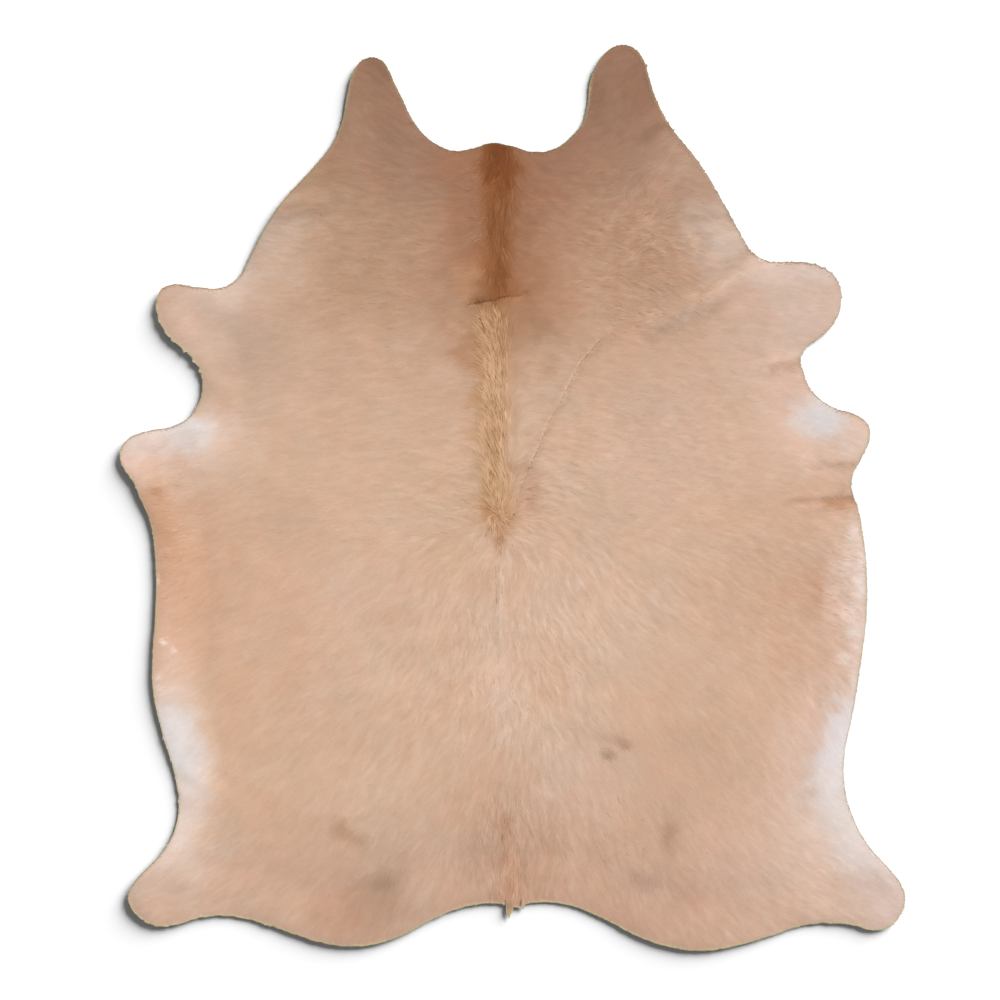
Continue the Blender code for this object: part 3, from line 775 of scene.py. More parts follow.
def line_distance(place, line):
    """Distance of many places to a line whose points are in millimetres."""
    corners = [complex(*corner) * MM for corner in line]
    nearest = np.full(place.shape, np.inf)
    for start, end in zip(corners, corners[1:]):
        share = np.clip(((place - start) / (end - start)).real, 0, 1)
        nearest = np.minimum(nearest, np.abs(place - start - share * (end - start)))
    return nearest


def ridges(place, rows):
    """Sum of ridges along lines, with heights, half widths and lines in millimetres."""
    total = np.zeros(place.shape)
    for _, height, half_width, line in rows:
        total = total + height * MM * bell(line_distance(place, line) / (half_width * MM))
    return total


def blurred(values, spread):
    """Soften a grid by a bell of the given spread in cells."""
    reach = math.ceil(spread * 2.5)
    weights = np.exp(-0.5 * (np.arange(-reach, reach + 1) / spread) ** 2)
    weights /= weights.sum()
    for axis in (0, 1):
        padding = [(0, 0), (0, 0)]
        padding[axis] = (reach, reach)
        padded = np.pad(values, padding, mode="edge")
        length = values.shape[axis]
        values = sum(weight * np.take(padded, range(shift, shift + length), axis)
                     for shift, weight in enumerate(weights))
    return values


def backbone_x(y):
    """Place across of the backbone's line."""
    across, along = np.array(BACKBONE[::-1]).T * MM
    return np.interp(y, along, across)


def enclosed_area(loop):
    """Area inside a closed line, below 0 where the line runs clockwise."""
    return float(0.5 * np.sum((np.conj(loop) * np.roll(loop, -1)).imag))


def lengths_along(line):
    """Length walked along a line at each of its points."""
    return np.concatenate(([0], np.cumsum(np.abs(np.diff(line)))))


def outward(loop):
    """Unit vectors that point out of a counter-clockwise loop at its points."""
    run = np.roll(loop, -1) - np.roll(loop, 1)
    return -1j * run / np.abs(run)


def in_space(place, height):
    """Points or vectors in space from places in plan and heights."""
    return np.stack((place.real, place.imag, height), axis=-1)


def welded_solid():
    """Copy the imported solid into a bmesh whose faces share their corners."""
    solid = bmesh.new()
    solid.from_mesh(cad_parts["hide"].data)
    bmesh.ops.remove_doubles(solid, verts=solid.verts, dist=0.001 * MM)
    solid.normal_update()
    solid.verts.index_update()
    return solid


def solid_edge(solid):
    """Places of the line where the solid's underside meets its rim."""
    beside = {}
    for edge in solid.edges:
        lower, upper = sorted(face.normal.z for face in edge.link_faces)
        if lower < UNDERSIDE_NORMAL and abs(upper) < RIM_NORMAL:
            first, second = edge.verts
            beside.setdefault(first, []).append(second)
            beside.setdefault(second, []).append(first)
    first = next(iter(beside))
    loop = [first, beside[first][0]]
    while loop[-1] is not first:
        onward, back = beside[loop[-1]]
        loop.append(back if onward is loop[-2] else onward)
    points = np.array([complex(*corner.co.xy) for corner in loop[:-1]])
    return points if enclosed_area(points) > 0 else points[::-1]


def without_tail(loop):
    """Leave out the tail tuft."""
    tail = (np.abs(loop.real - TAIL_MIDDLE) < TAIL_HALF_WIDTH) & (loop.imag < TAIL_START)
    return loop[~tail]


def evenly_spaced(loop, spacing, steps=10):
    """Walk a smooth closed curve through the points in equal steps."""
    before, ahead, beyond = (np.roll(loop, shift) for shift in (1, -1, -2))
    share = np.linspace(0, 1, steps, endpoint=False)[:, None]
    curve = 0.5 * (2 * loop + (ahead - before) * share
                   + (2 * before - 5 * loop + 4 * ahead - beyond) * share ** 2
                   + (3 * loop - before - 3 * ahead + beyond) * share ** 3)
    dense = curve.T.ravel()
    closed = np.append(dense, dense[0])
    walked = lengths_along(closed)
    count = round(walked[-1] / spacing)
    return np.interp(np.arange(count) * walked[-1] / count, walked, closed)


def inside_grid(edge):
    """Distance to the cut edge over the hide's grid, negative outside it."""
    columns, rows = grid_axes(SHAPE_STEP)
    ahead = np.roll(edge, -1)
    tree = KDTree(len(edge))
    for number, point in enumerate(edge):
        tree.insert((point.real, point.imag, 0), number)
    tree.balance()
    gaps = np.array([[tree.find((x, y, 0))[2] for x in columns] for y in rows])
    for row, y in enumerate(rows):
        crosses = (edge.imag > y) != (ahead.imag > y)
        start, run = edge[crosses], (ahead - edge)[crosses]
        crossings = np.sort(start.real + (y - start.imag) / run.imag * run.real)
        outside = np.searchsorted(crossings, columns) % 2 == 0
        gaps[row, outside] *= -1
    return new_raster(gaps, SHAPE_STEP)


def underside_grid(solid):
    """Height of the skin's underside, taken from the solid and evened out."""
    corners = [vertex.co for vertex in solid.verts]
    lower = [[vertex.index for vertex in face.verts] for face in solid.faces
             if face.normal.z < UNDERSIDE_NORMAL]
    tree = BVHTree.FromPolygons(corners, lower)
    place = grid_places(SHAPE_STEP)
    heights = np.zeros(place.shape)
    known = np.zeros(place.shape)
    up = Vector((0, 0, 1))
    for cell, point in np.ndenumerate(place):
        hit = tree.ray_cast(Vector((point.real, point.imag, -1)), up)[0]
        if hit:
            heights[cell] = hit.z
            known[cell] = 1
    spread = FACET_SOFTNESS / SHAPE_STEP
    least_known = 0.02
    heights = blurred(heights * known, spread) / np.maximum(blurred(known, spread), least_known)
    heights = np.maximum(heights - ridges(place, FLATTER_FOLDS), FLOOR_CLEARANCE)
    return new_raster(heights, SHAPE_STEP)


def hair_flow(place):
    """Unit vectors along which the hair lies at many places."""
    x, y = place.real, place.imag
    aside = x - backbone_x(y)
    reach = np.abs(aside)
    past_whorl = smooth_step((WHORL.imag + WHORL_LEAD - y) / WHORL_LENGTH)
    barrel_lie = BARREL_LIE * np.tanh(reach / BARREL_REACH)
    lie = SHOULDER_LIE + (barrel_lie - SHOULDER_LIE) * past_whorl
    row = 1 / (1 + np.exp((reach - MANE_REACH) / MANE_FADE))
    crest = row * smooth_step((CREST_MEETING - y) / MEETING_LENGTH)
    crest = crest * smooth_step((y - WHORL.imag) / CREST_LENGTH)
    lie = lie + (CREST_LIE - CREST_SPLAY * reach / MM - lie) * crest
    mane = row * smooth_step((y - CREST_MEETING) / MEETING_LENGTH)
    lie = np.radians(lie + (MANE_SPLAY * reach / MM - lie) * mane)
    flow = np.tanh(aside / PARTING_WIDTH) * np.sin(lie) - 1j * np.cos(lie)

    gap = np.abs(place - WHORL) + LEAST_GAP
    flow = flow + ((place - WHORL) / gap - flow) * bell(gap / WHORL_REACH)
    gap = np.abs(TAIL_ROOT - place) + LEAST_GAP
    ahead = np.hypot(aside, y - TAIL_ROOT.imag - TAIL_REACH) / TAIL_REACH
    flow = flow + ((TAIL_ROOT - place) / gap - flow) * TAIL_PULL * bell(ahead)

    turn = clouds(place, BROAD_TURNS) + mounds(place, TURNS)
    turn = turn + (TOUSLE + mounds(place, ROUGH_PLACES)) * clouds(place, TOUSLED_TURNS)
    flow = flow * np.exp(1j * np.radians(turn))
    return flow / (np.abs(flow) + 1e-6)


def combed(values, flow, cells):
    """Smear values along the hair for some cells each way, which draws streaks."""
    rows, columns = values.shape
    row, column = np.indices(values.shape)
    total = values.copy()
    for way in (1, -1):
        place = column + 1j * row
        near = (row, column)
        for step in range(cells):
            place = place + way * flow[near]
            near = (np.clip(np.rint(place.imag).astype(int), 0, rows - 1),
                    np.clip(np.rint(place.real).astype(int), 0, columns - 1))
            total += values[near] * (1 - step / cells)
    return total / total.std()


def streak_grid(flow):
    """Fine and broad streaks along the hair, about 1 high on average."""
    chance = np.random.default_rng(SEED + 10)
    streaks = np.zeros(flow.shape)
    for height, softness, cells in STREAKS:
        noise = chance.normal(size=flow.shape)
        if softness:
            noise = blurred(noise, softness)
        streaks += height * combed(noise, flow, cells)
    return new_raster(streaks, STREAK_STEP)


def frayed(loop):
    """Push the points of the cut line in and out, most where the cut is ragged."""
    depth = TEETH_DEPTH + mounds(loop, RAGGED_EDGES)
    return loop + outward(loop) * depth * np.clip(clouds(loop, CUT_TEETH), -1, 1) * MM


def roughness_of_coat(place):
    """How much the streaks stand out, about 1 on the sides of the back."""
    return COAT_ROUGHNESS + clouds(place, UNEVEN_ROUGHNESS) + mounds(place, ROUGH_PLACES)


def away_from_cut(place, inside):
    """How far places lie from the cut edge, 0 on it and 1 where the skin is whole."""
    return smooth_step(sample(inside, place) / FULL_SKIN)


def leather_heights(place, inside, underside):
    """Height of the skin's upper side, with its fine relief."""
    sizes = bpy.context.scene.cowhide_sizes
    full = away_from_cut(place, inside)
    leather = sizes.rim_leather + (sizes.leather - sizes.rim_leather) * full
    relief = clouds(place, SKIN_WAVES) * MM + ridges(place, RELIEF)
    return sample(underside, place) + leather + full * relief


def nap_relief(place, inside, streak):
    """Height of the streaks in which the hair lies."""
    streaks = np.clip(sample(streak, place) * roughness_of_coat(place), -3, 3)
    return bpy.context.scene.cowhide_sizes.streak_relief * away_from_cut(place, inside) * streaks


@lru_cache(maxsize=None)
def hide_shape():
    """Everything that the pieces share: the cut edge, heights and the hair's lie."""
    solid = welded_solid()
    edge = evenly_spaced(without_tail(solid_edge(solid)), EDGE_STEP)
    inside = inside_grid(edge)
    underside = underside_grid(solid)
    solid.free()
    place = grid_places(STREAK_STEP)
    flow = hair_flow(place)
    streak = streak_grid(flow)
    leather = leather_heights(place, inside, underside)
    top = leather + nap_relief(place, inside, streak)
    slope_y, slope_x = np.gradient(top, STREAK_STEP)
    grids = (leather, top, slope_x + 1j * slope_y, flow)
    rasters = (new_raster(values, STREAK_STEP) for values in grids)
    return Shape(edge, inside, underside, *rasters, streak)


def lie_of(place):
    """Direction in which the hair lies at many places, as an angle from +X."""
    return np.angle(sample(hide_shape().flow, place))


def lying_normals(place, lean):
    """The skin's normals at many places, leaned sideways, so the nap shades as one."""
    tilt = lean - sample(hide_shape().slope, place)
    normals = in_space(tilt, np.ones(tilt.shape))
    return normals / np.linalg.norm(normals, axis=-1, keepdims=True)


def tone_ramp(places, steps):
    """Colours at places between steps that each have a place and an sRGB hex code."""
    stops = [place for _, place, _ in steps]
    tones = np.array([srgb_shares(code) for _, _, code in steps])
    return np.column_stack([np.interp(places, stops, channel) for channel in tones.T])


def tinted(colour, code, strength, gap, soft):
    """Mix in a colour inside a soft border, where gap is 0 in its middle and 1 on it."""
    share = strength / (1 + np.exp((gap - 1) / soft))
    return colour + (srgb_shares(code) - colour) * share[:, None]


def coat_colour(place, chance, jitter=2.5 * MM):
    """Colour of the hair at many places, as sRGB shares."""
    waver_x, waver_y = (clouds(place, layers) * MM for layers in WAVERING_PLACES)
    place = place + chance.normal(0, jitter, place.shape) + waver_x
    place = place + 1j * (chance.normal(0, jitter, place.shape) + waver_y)
    colour = tone_ramp(place.imag / MM, BACK_TONES)
    ragged = 1 + clouds(place, RAGGED_BORDERS)
    for _, across, along, reach_x, reach_y, degrees, code, strength, soft in PATCHES:
        gap = (place / MM - complex(across, along)) * np.exp(-1j * math.radians(degrees))
        gap = np.hypot(gap.real / reach_x, gap.imag / reach_y) * ragged
        colour = tinted(colour, code, strength, gap, soft)
    for _, code, strength, half_width, soft, line in STRIPES:
        gap = line_distance(place, line) / (half_width * MM)
        if half_width > RAGGED_HALF_WIDTH:
            gap = gap * ragged
        colour = tinted(colour, code, strength, gap, soft)
    warmth = clouds(place, WARMTH)[:, None] * WARMTH_WEIGHTS
    darkest = 0.02
    return np.clip(colour + warmth + clouds(place, SHADE)[:, None], darkest, 1)


def toned(colour, change):
    """Lighten the hair by a share, or darken it, which makes it redder too."""
    return colour * (1 + change[:, None] * TONE_WEIGHTS)


def rim_tint(facing):
    """Colour of the cut edge's hair tips by the way that the edge faces, dark as painted shade
    where it faces the head.
    """
    return tone_ramp(np.degrees(np.angle(facing)) % 360, RIM_TINTS)


def with_alpha(colour, gain=1.0):
    """Linear colours with an opaque alpha, ready for a colour attribute."""
    light = np.clip(linear_light(np.clip(colour, 0, 1)) * LIGHT_SHARE * gain, 0, 1)
    return np.column_stack((light, np.ones(len(light))))


def add_object(name, points, faces, materials, colours):
    """Make a mesh object from arrays, with its colours."""
    mesh = bpy.data.meshes.new(name)
    mesh.from_pydata(points, [], faces)
    for material in materials:
        mesh.materials.append(material)
    layer = mesh.color_attributes.new("hair_colour", "FLOAT_COLOR", "POINT")
    layer.data.foreach_set("color", colours.astype(np.float32).ravel())
    item = bpy.data.objects.new(name, mesh)
    bpy.context.scene.collection.objects.link(item)
    return item


def add_plan_map(item):
    """Give a piece a texture map that looks straight down on its own box."""
    mesh = item.data
    places = np.zeros(len(mesh.vertices) * 3)
    mesh.vertices.foreach_get("co", places)
    plan = places.reshape(-1, 3)[:, :2]
    low, high = plan.min(axis=0), plan.max(axis=0)
    corners = np.zeros(len(mesh.loops), dtype=np.int32)
    mesh.loops.foreach_get("vertex_index", corners)
    layer = mesh.uv_layers.new(name="OFBake")
    layer.data.foreach_set("uv", ((plan - low) / (high - low))[corners].ravel())


def settle(item):
    """Ride a piece on the hide's only body."""
    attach(item, "root")
    return item


def add_node(tree, kind, inputs=None, **settings):
    """Add a node with its settings, and set or link its inputs."""
    node = tree.nodes.new(kind)
    for name, value in settings.items():
        setattr(node, name, value)
    for name, value in (inputs or {}).items():
        if isinstance(value, bpy.types.NodeSocket):
            tree.links.new(value, node.inputs[name])
        else:
            node.inputs[name].default_value = value
    return node


def new_material(name):
    """A new material and its node tree, which is still empty."""
    material = bpy.data.materials.new(name)
    material.use_nodes = True
    material.node_tree.nodes.clear()
    return material, material.node_tree


def finish_material(material, inputs):
    """Give a material its surface, with the shader's values and links."""
    tree = material.node_tree
    shader = add_node(tree, "ShaderNodeBsdfPrincipled", inputs)
    add_node(tree, "ShaderNodeOutputMaterial", {"Surface": shader.outputs[0]})
    return material


def grain(tree, size, detail, strength, depth, roughness=0.5, place=None):
    """A pattern whose cells have a real size, and the small bumps that it makes."""
    if place is None:
        place = add_node(tree, "ShaderNodeTexCoord").outputs["Object"]
    pattern = add_node(tree, "ShaderNodeTexNoise", {
        "Vector": place, "Scale": 1 / size, "Detail": detail, "Roughness": roughness})
    bumps = add_node(tree, "ShaderNodeBump", {
        "Height": pattern.outputs[0], "Strength": strength, "Distance": depth})
    return pattern.outputs[0], bumps.outputs[0]


def speckled(tree, pattern, spread, change):
    """The hair's own colour, lighter and darker by a share where the pattern is."""
    tone = add_node(tree, "ShaderNodeAttribute", attribute_name="hair_colour")
    lift = add_node(tree, "ShaderNodeMapRange", {
        "Value": pattern, "From Min": 0.5 - spread, "From Max": 0.5 + spread,
        "To Min": 1 - change, "To Max": 1 + change})
    shaded = add_node(tree, "ShaderNodeVectorMath", {
        0: tone.outputs["Color"], "Scale": lift.outputs[0]}, operation="SCALE")
    return shaded.outputs[0]


# Sizes of the materials' patterns. Hairs are 0.05 mm thick and the ends of fibres
# finer, too fine to show, so they are drawn as coarse as they need to show
UNDER_HAIR_TUFT = 1.43 * MM
SUEDE_PATCH = 111 * MM
SUEDE_FIBRES = 1.54 * MM
CUT_FIBRES = 2.38 * MM
PAPER_GRAIN = 6.25 * MM

# Strands across half the width of a lock, how often they change along it, and how
# far apart the patterns of all locks are spread
STRAND_COUNTS = (5.0, 1.2, 61.0)


@lru_cache(maxsize=None)
def combed_hair():
    """Short, straight cow hair, combed flat.

    Keratin has an index of about 1.55. Lying hairs spread the light, so the
    coat is satin and not glossy, with a faint pale bloom at low angles. Its
    strands are drawn 0.5 mm wide, ten across a lock.
    """
    material, tree = new_material("combed_cow_hair")
    strand = add_node(tree, "ShaderNodeAttribute", attribute_name="strand")
    stretched = add_node(tree, "ShaderNodeVectorMath", {
        0: strand.outputs["Vector"], 1: STRAND_COUNTS}, operation="MULTIPLY")
    strands, bumps = grain(tree, size=1.0, detail=2.0, strength=0.2, depth=0.1 * MM,
                           roughness=0.6, place=stretched.outputs[0])
    satin = add_node(tree, "ShaderNodeMapRange", {
        "Value": strands, "To Min": 0.62, "To Max": 0.78})
    return finish_material(material, {
        "Base Color": speckled(tree, strands, 0.25, 0.045), "Roughness": satin.outputs[0],
        "Normal": bumps, "IOR": 1.55, "Specular IOR Level": 0.12,
        "Sheen Weight": 0.03, "Sheen Roughness": 0.5})


def under_hair():
    """The short, dense hair at the skin, which shows only between the locks."""
    material, tree = new_material("dense_under_hair")
    fuzz, bumps = grain(tree, UNDER_HAIR_TUFT, detail=3.0, strength=0.5, depth=0.4 * MM)
    return finish_material(material, {
        "Base Color": speckled(tree, fuzz, 0.2, 0.1), "Normal": bumps,
        "Roughness": 0.8, "IOR": 1.55, "Specular IOR Level": 0.1})


def napped_suede():
    """The flesh side of tanned leather, buffed to a short, dull nap.

    Loose fibre ends about 1.5 mm long make it fully matt, and vein marks and
    thin places make it uneven over a hand's width.
    """
    colours = bpy.context.scene.cowhide_colours
    material, tree = new_material("napped_suede")
    place = add_node(tree, "ShaderNodeTexCoord")
    patches = add_node(tree, "ShaderNodeTexNoise", {
        "Vector": place.outputs["Object"], "Scale": 1 / SUEDE_PATCH, "Detail": 4.0,
        "Roughness": 0.6})
    fibres, bumps = grain(tree, SUEDE_FIBRES, detail=3.0, strength=0.6, depth=0.3 * MM,
                          roughness=0.7)
    both = add_node(tree, "ShaderNodeMath", {0: patches.outputs[0], 1: fibres}, operation="ADD")
    share = add_node(tree, "ShaderNodeMapRange", {
        "Value": both.outputs[0], "From Min": 0.7, "From Max": 1.3})
    colour = add_node(tree, "ShaderNodeMix", {
        "Factor": share.outputs[0], "A": (*colours.suede_shade, 1), "B": (*colours.suede, 1)},
        data_type="RGBA")
    return finish_material(material, {
        "Base Color": colour.outputs["Result"], "Normal": bumps,
        "Roughness": 0.92, "IOR": 1.5, "Specular IOR Level": 0.2,
        "Sheen Weight": 0.2, "Sheen Roughness": 0.6})


def cut_leather():
    """Raw leather where a knife cut the skin: pale, fibrous and matt."""
    colours = bpy.context.scene.cowhide_colours
    material, tree = new_material("knife_cut_leather")
    fibres, bumps = grain(tree, CUT_FIBRES, detail=3.0, strength=0.4, depth=0.3 * MM)
    tone = add_node(tree, "ShaderNodeAttribute", attribute_name="hair_colour")
    share = add_node(tree, "ShaderNodeMapRange", {
        "Value": fibres, "From Min": 0.3, "From Max": 0.7, "To Min": 0.25, "To Max": 0.75})
    colour = add_node(tree, "ShaderNodeMix", {
        "Factor": share.outputs[0], "A": tone.outputs["Color"], "B": (*colours.cut_edge, 1)},
        data_type="RGBA")
    return finish_material(material, {
        "Base Color": colour.outputs["Result"], "Normal": bumps,
        "Roughness": 0.85, "IOR": 1.5, "Specular IOR Level": 0.3})


def studio_paper():
    """Matt background paper, so pale and even that it shows only the shadow."""
    colours = bpy.context.scene.cowhide_colours
    material, tree = new_material("matt_studio_paper")
    _, bumps = grain(tree, PAPER_GRAIN, detail=2.0, strength=0.05, depth=0.2 * MM)
    return finish_material(material, {
        "Base Color": (*colours.paper, 1), "Roughness": 0.95,
        "Specular IOR Level": 0.1, "Normal": bumps})


def skin_triangles(edge, pitch):
    """Triangles over the whole skin that face up: their corners and faces."""
    columns, rows = grid_axes(pitch)
    rows = np.arange(rows[0], rows[-1], pitch * math.sqrt(3) / 2)
    place = columns + 1j * rows[:, None]
    place[1::2] += pitch / 2
    clear_of_edge = sample(hide_shape().inside, place) > pitch * 0.55
    points = np.concatenate((edge, place[clear_of_edge]))
    points = [Vector((point.real, point.imag)) for point in points]
    outline = [list(range(len(edge)))]
    corners, _, faces, *_ = delaunay_2d_cdt(points, [], outline, 1, 1e-7)
    corners = np.array([complex(*corner) for corner in corners])
    faces = np.array(faces)
    a, b, c = corners[faces.T]
    turned = (np.conj(b - a) * (c - a)).imag < 0
    faces[turned] = faces[turned][:, ::-1]
    return corners, faces


def border_edges(faces):
    """Directed edges that only one triangle has, with the skin on their left."""
    edges = np.vstack((faces[:, (0, 1)], faces[:, (1, 2)], faces[:, (2, 0)]))
    kept = {tuple(edge) for edge in edges.tolist()}
    return np.array([edge for edge in kept if (edge[1], edge[0]) not in kept])


def border_ring(corners, border):
    """Corners on the border, and the unit vectors in which they face outward."""
    facing = np.zeros(corners.shape, complex)
    run = corners[border[:, 1]] - corners[border[:, 0]]
    for end in (0, 1):
        np.add.at(facing, border[:, end], -1j * run)
    ring = np.unique(border)
    return ring, facing[ring] / np.abs(facing[ring])


class COWHIDE_OT_skin(Operator):
    """Make the tanned skin, with its suede flesh side and its cut edge."""

    bl_idname = "cowhide.skin"
    bl_label = "Skin"

    def execute(self, context):
        shape = hide_shape()
        loop = frayed(shape.edge)[::SKIN_STRIDE]
        edge = loop - outward(loop) * CUT_INSET
        corners, faces = skin_triangles(edge, context.scene.cowhide_sizes.skin_pitch)
        low = sample(shape.underside, corners)
        high = sample(shape.leather, corners) - UNDER_COAT
        border = border_edges(faces)
        ring, facing = border_ring(corners, border)
        points = np.vstack((
            in_space(corners, low), in_space(corners, high),
            in_space(corners[ring] + facing * CUT_BULGE, (low[ring] + high[ring]) / 2)))

        count = len(corners)
        middle = np.full(count, -1)
        middle[ring] = 2 * count + np.arange(len(ring))
        start, end = border.T
        lower_rim = np.column_stack((start, end, middle[end], middle[start]))
        upper_rim = np.column_stack((middle[start], middle[end], end + count, start + count))
        parts = (faces + count, faces[:, ::-1], np.vstack((lower_rim, upper_rim)))
        all_faces = [face for part in parts for face in part.tolist()]

        chance = np.random.default_rng(SEED + 60)
        # The hair at the skin is a little darker than the locks, as painted shade between them
        hair = with_alpha(coat_colour(corners, chance, 1 * MM), 0.96)
        # The cut takes the tips' tint too, with its painted shade where the edge faces the head
        colours = np.vstack((hair, hair, with_alpha(rim_tint(facing))))
        item = add_object("hide_skin", points, all_faces,
                          (under_hair(), napped_suede(), cut_leather()), colours)
        kinds = np.repeat((0, 1, 2), [len(part) for part in parts])
        item.data.polygons.foreach_set("material_index", kinds.astype(np.int32))
        item.data.shade_smooth()
        item.data.set_sharp_from_angle(angle=math.radians(50))
        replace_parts(settle(item), "hide")
        return {"FINISHED"}


def hair_faces(rings):
    """Triangles of one closed hair: rings of three corners, then its tip."""
    sides = ((0, 1), (1, 2), (2, 0))
    faces = [(0, 2, 1)]
    for low in range(0, 3 * (rings - 1), 3):
        for first, second in sides:
            faces.append((low + first, low + second, low + 3 + second))
            faces.append((low + first, low + 3 + second, low + 3 + first))
    last, tip = 3 * rings - 3, 3 * rings
    faces += [(last + first, last + second, tip) for first, second in sides]
    return np.array(faces)


def new_hairs(place, turn, length, width, rise, colour, tip_colour=None, bend=0, root=0):
    """Hairs at many places, where one bend and one height of the root may do for all."""
    each = np.ones(len(place))
    if tip_colour is None:
        tip_colour = colour
    return Hairs(place, turn, length, width, bend * each, root * each, rise, colour, tip_colour)


def chosen(hairs, which):
    """Keep only some of the hairs."""
    return Hairs(*(values[which] for values in hairs))


def joined(groups):
    """Put several groups of hairs together."""
    return Hairs(*(np.concatenate(values) for values in zip(*groups)))


def add_hairs(name, hairs, shares=(0,), ahead=0, ridge=0.1 * MM, arch=1.0, sink=0.3 * MM,
              side_rise=1.0, roundness=0.03, gains=(0.97, 1.02), side_shade_gain=0.97,
              root_width=1.0, tint_at=1):
    """Make one piece of many closed, tapered hairs that lie on the skin.

    shares are the places along a hair of its rings. In each ring the ridge
    stands ahead of the two sides by a share of the length. arch is how much of
    the rise is a hump along the hair, and the rest is a slope to its tip. The
    sides take side_rise of the rise, and they and the tip are sunk in the coat by
    sink, so that no gap shows under them. roundness leans the sides' normals
    apart. gains set the colour's gain at root and tip: a root gain under 1 is
    painted shade down in the coat, and a tip gain over 1 makes the tip paler.
    The sides' gain darkens them as painted shade. root_width is the root's share
    of the full width. A high tint_at keeps the tip's colour to the very end of
    the hair.
    """
    count = len(hairs.place)
    run = np.exp(1j * hairs.turn)
    own_number = np.random.default_rng(SEED + count).uniform(0, 1, count)
    corners = []

    def add_corner(share, side, least=None):
        """Add a corner of every hair, on its ridge if least is given, and return its height."""
        widen = min(1, root_width + (1 - root_width) * share / WIDE_FROM)
        half = hairs.width / 2 * widen * (1 - TIP_TAPER * share ** 2)
        sway = share ** 2 + SWAY * math.sin(2 * math.pi * share)
        place = hairs.place + run * (share * hairs.length + 1j * (hairs.bend * sway + side * half))
        hump = arch * math.sin(math.pi * share ** HUMP_LEAN) + (1 - arch) * share
        height = sample(hide_shape().top, place) + hairs.root
        height = height + hairs.rise * hump * (side_rise if side else 1)
        if side or share == 1:
            height = height - sink
        if least is not None:
            height = np.maximum(height, least) + ridge
        # Darker at the root and on the sides: painted shade down in the coat and along the sides
        # of the hair
        gain = (gains[0] + (gains[1] - gains[0]) * share) * (side_shade_gain if side else 1)
        colour = hairs.colour + (hairs.tip_colour - hairs.colour) * share ** tint_at
        mark = np.column_stack((np.full(count, side), np.full(count, share), own_number))
        corners.append((in_space(place, height), lying_normals(place, 1j * run * side * roundness),
                        with_alpha(colour, gain), mark))
        return height

    middles = [(add_corner(share, 1) + add_corner(share, -1)) / 2 for share in shares]
    tip = add_corner(1, 0)
    for share, low in zip(shares, middles):
        add_corner(share + ahead, 0, low + (tip - low) * ahead / (1 - share))

    rings = len(shares)
    order = [place for ring in range(rings)
             for place in (2 * ring, 2 * rings + 1 + ring, 2 * ring + 1)] + [2 * rings]
    points, normals, tones, marks = (
        np.stack([corners[place][part] for place in order], axis=1).reshape(-1, size)
        for part, size in enumerate((3, 3, 4, 3)))
    faces = hair_faces(rings) + len(order) * np.arange(count)[:, None, None]
    item = add_object(name, points, faces.reshape(-1, 3).tolist(), (combed_hair(),), tones)
    layer = item.data.attributes.new("strand", "FLOAT_VECTOR", "POINT")
    layer.data.foreach_set("vector", marks.astype(np.float32).ravel())
    item.data.shade_smooth()
    item.data.normals_split_custom_set_from_vertices(normals)
    add_plan_map(item)
    return settle(item)


def shifted(place, chance, share, pitch):
    """Move places by up to a share of the pitch each way."""
    aside = chance.uniform(-share, share, place.shape)
    return place + (aside + 1j * chance.uniform(-share, share, place.shape)) * pitch


def scattered(pitch, chance):
    """Scattered, evenly dense places over the whole hide."""
    place = shifted(grid_places(pitch), chance, 0.5, pitch).ravel()
    return place[sample(hide_shape().inside, place) > 2.2 * MM]


def tuft_centres(place, pitch, chance):
    """For each place, the centre of the tuft that it belongs to."""
    columns, rows = grid_axes(pitch)
    centres = shifted(grid_places(pitch), chance, 0.45, pitch)
    column = ((place.real - columns[0]) / pitch).round().astype(int).clip(1, len(columns) - 2)
    row = ((place.imag - rows[0]) / pitch).round().astype(int).clip(1, len(rows) - 2)
    near = np.array([centres[row + down, column + over]
                     for down in (-1, 0, 1) for over in (-1, 0, 1)])
    return near[np.abs(near - place).argmin(axis=0), np.arange(len(place))]


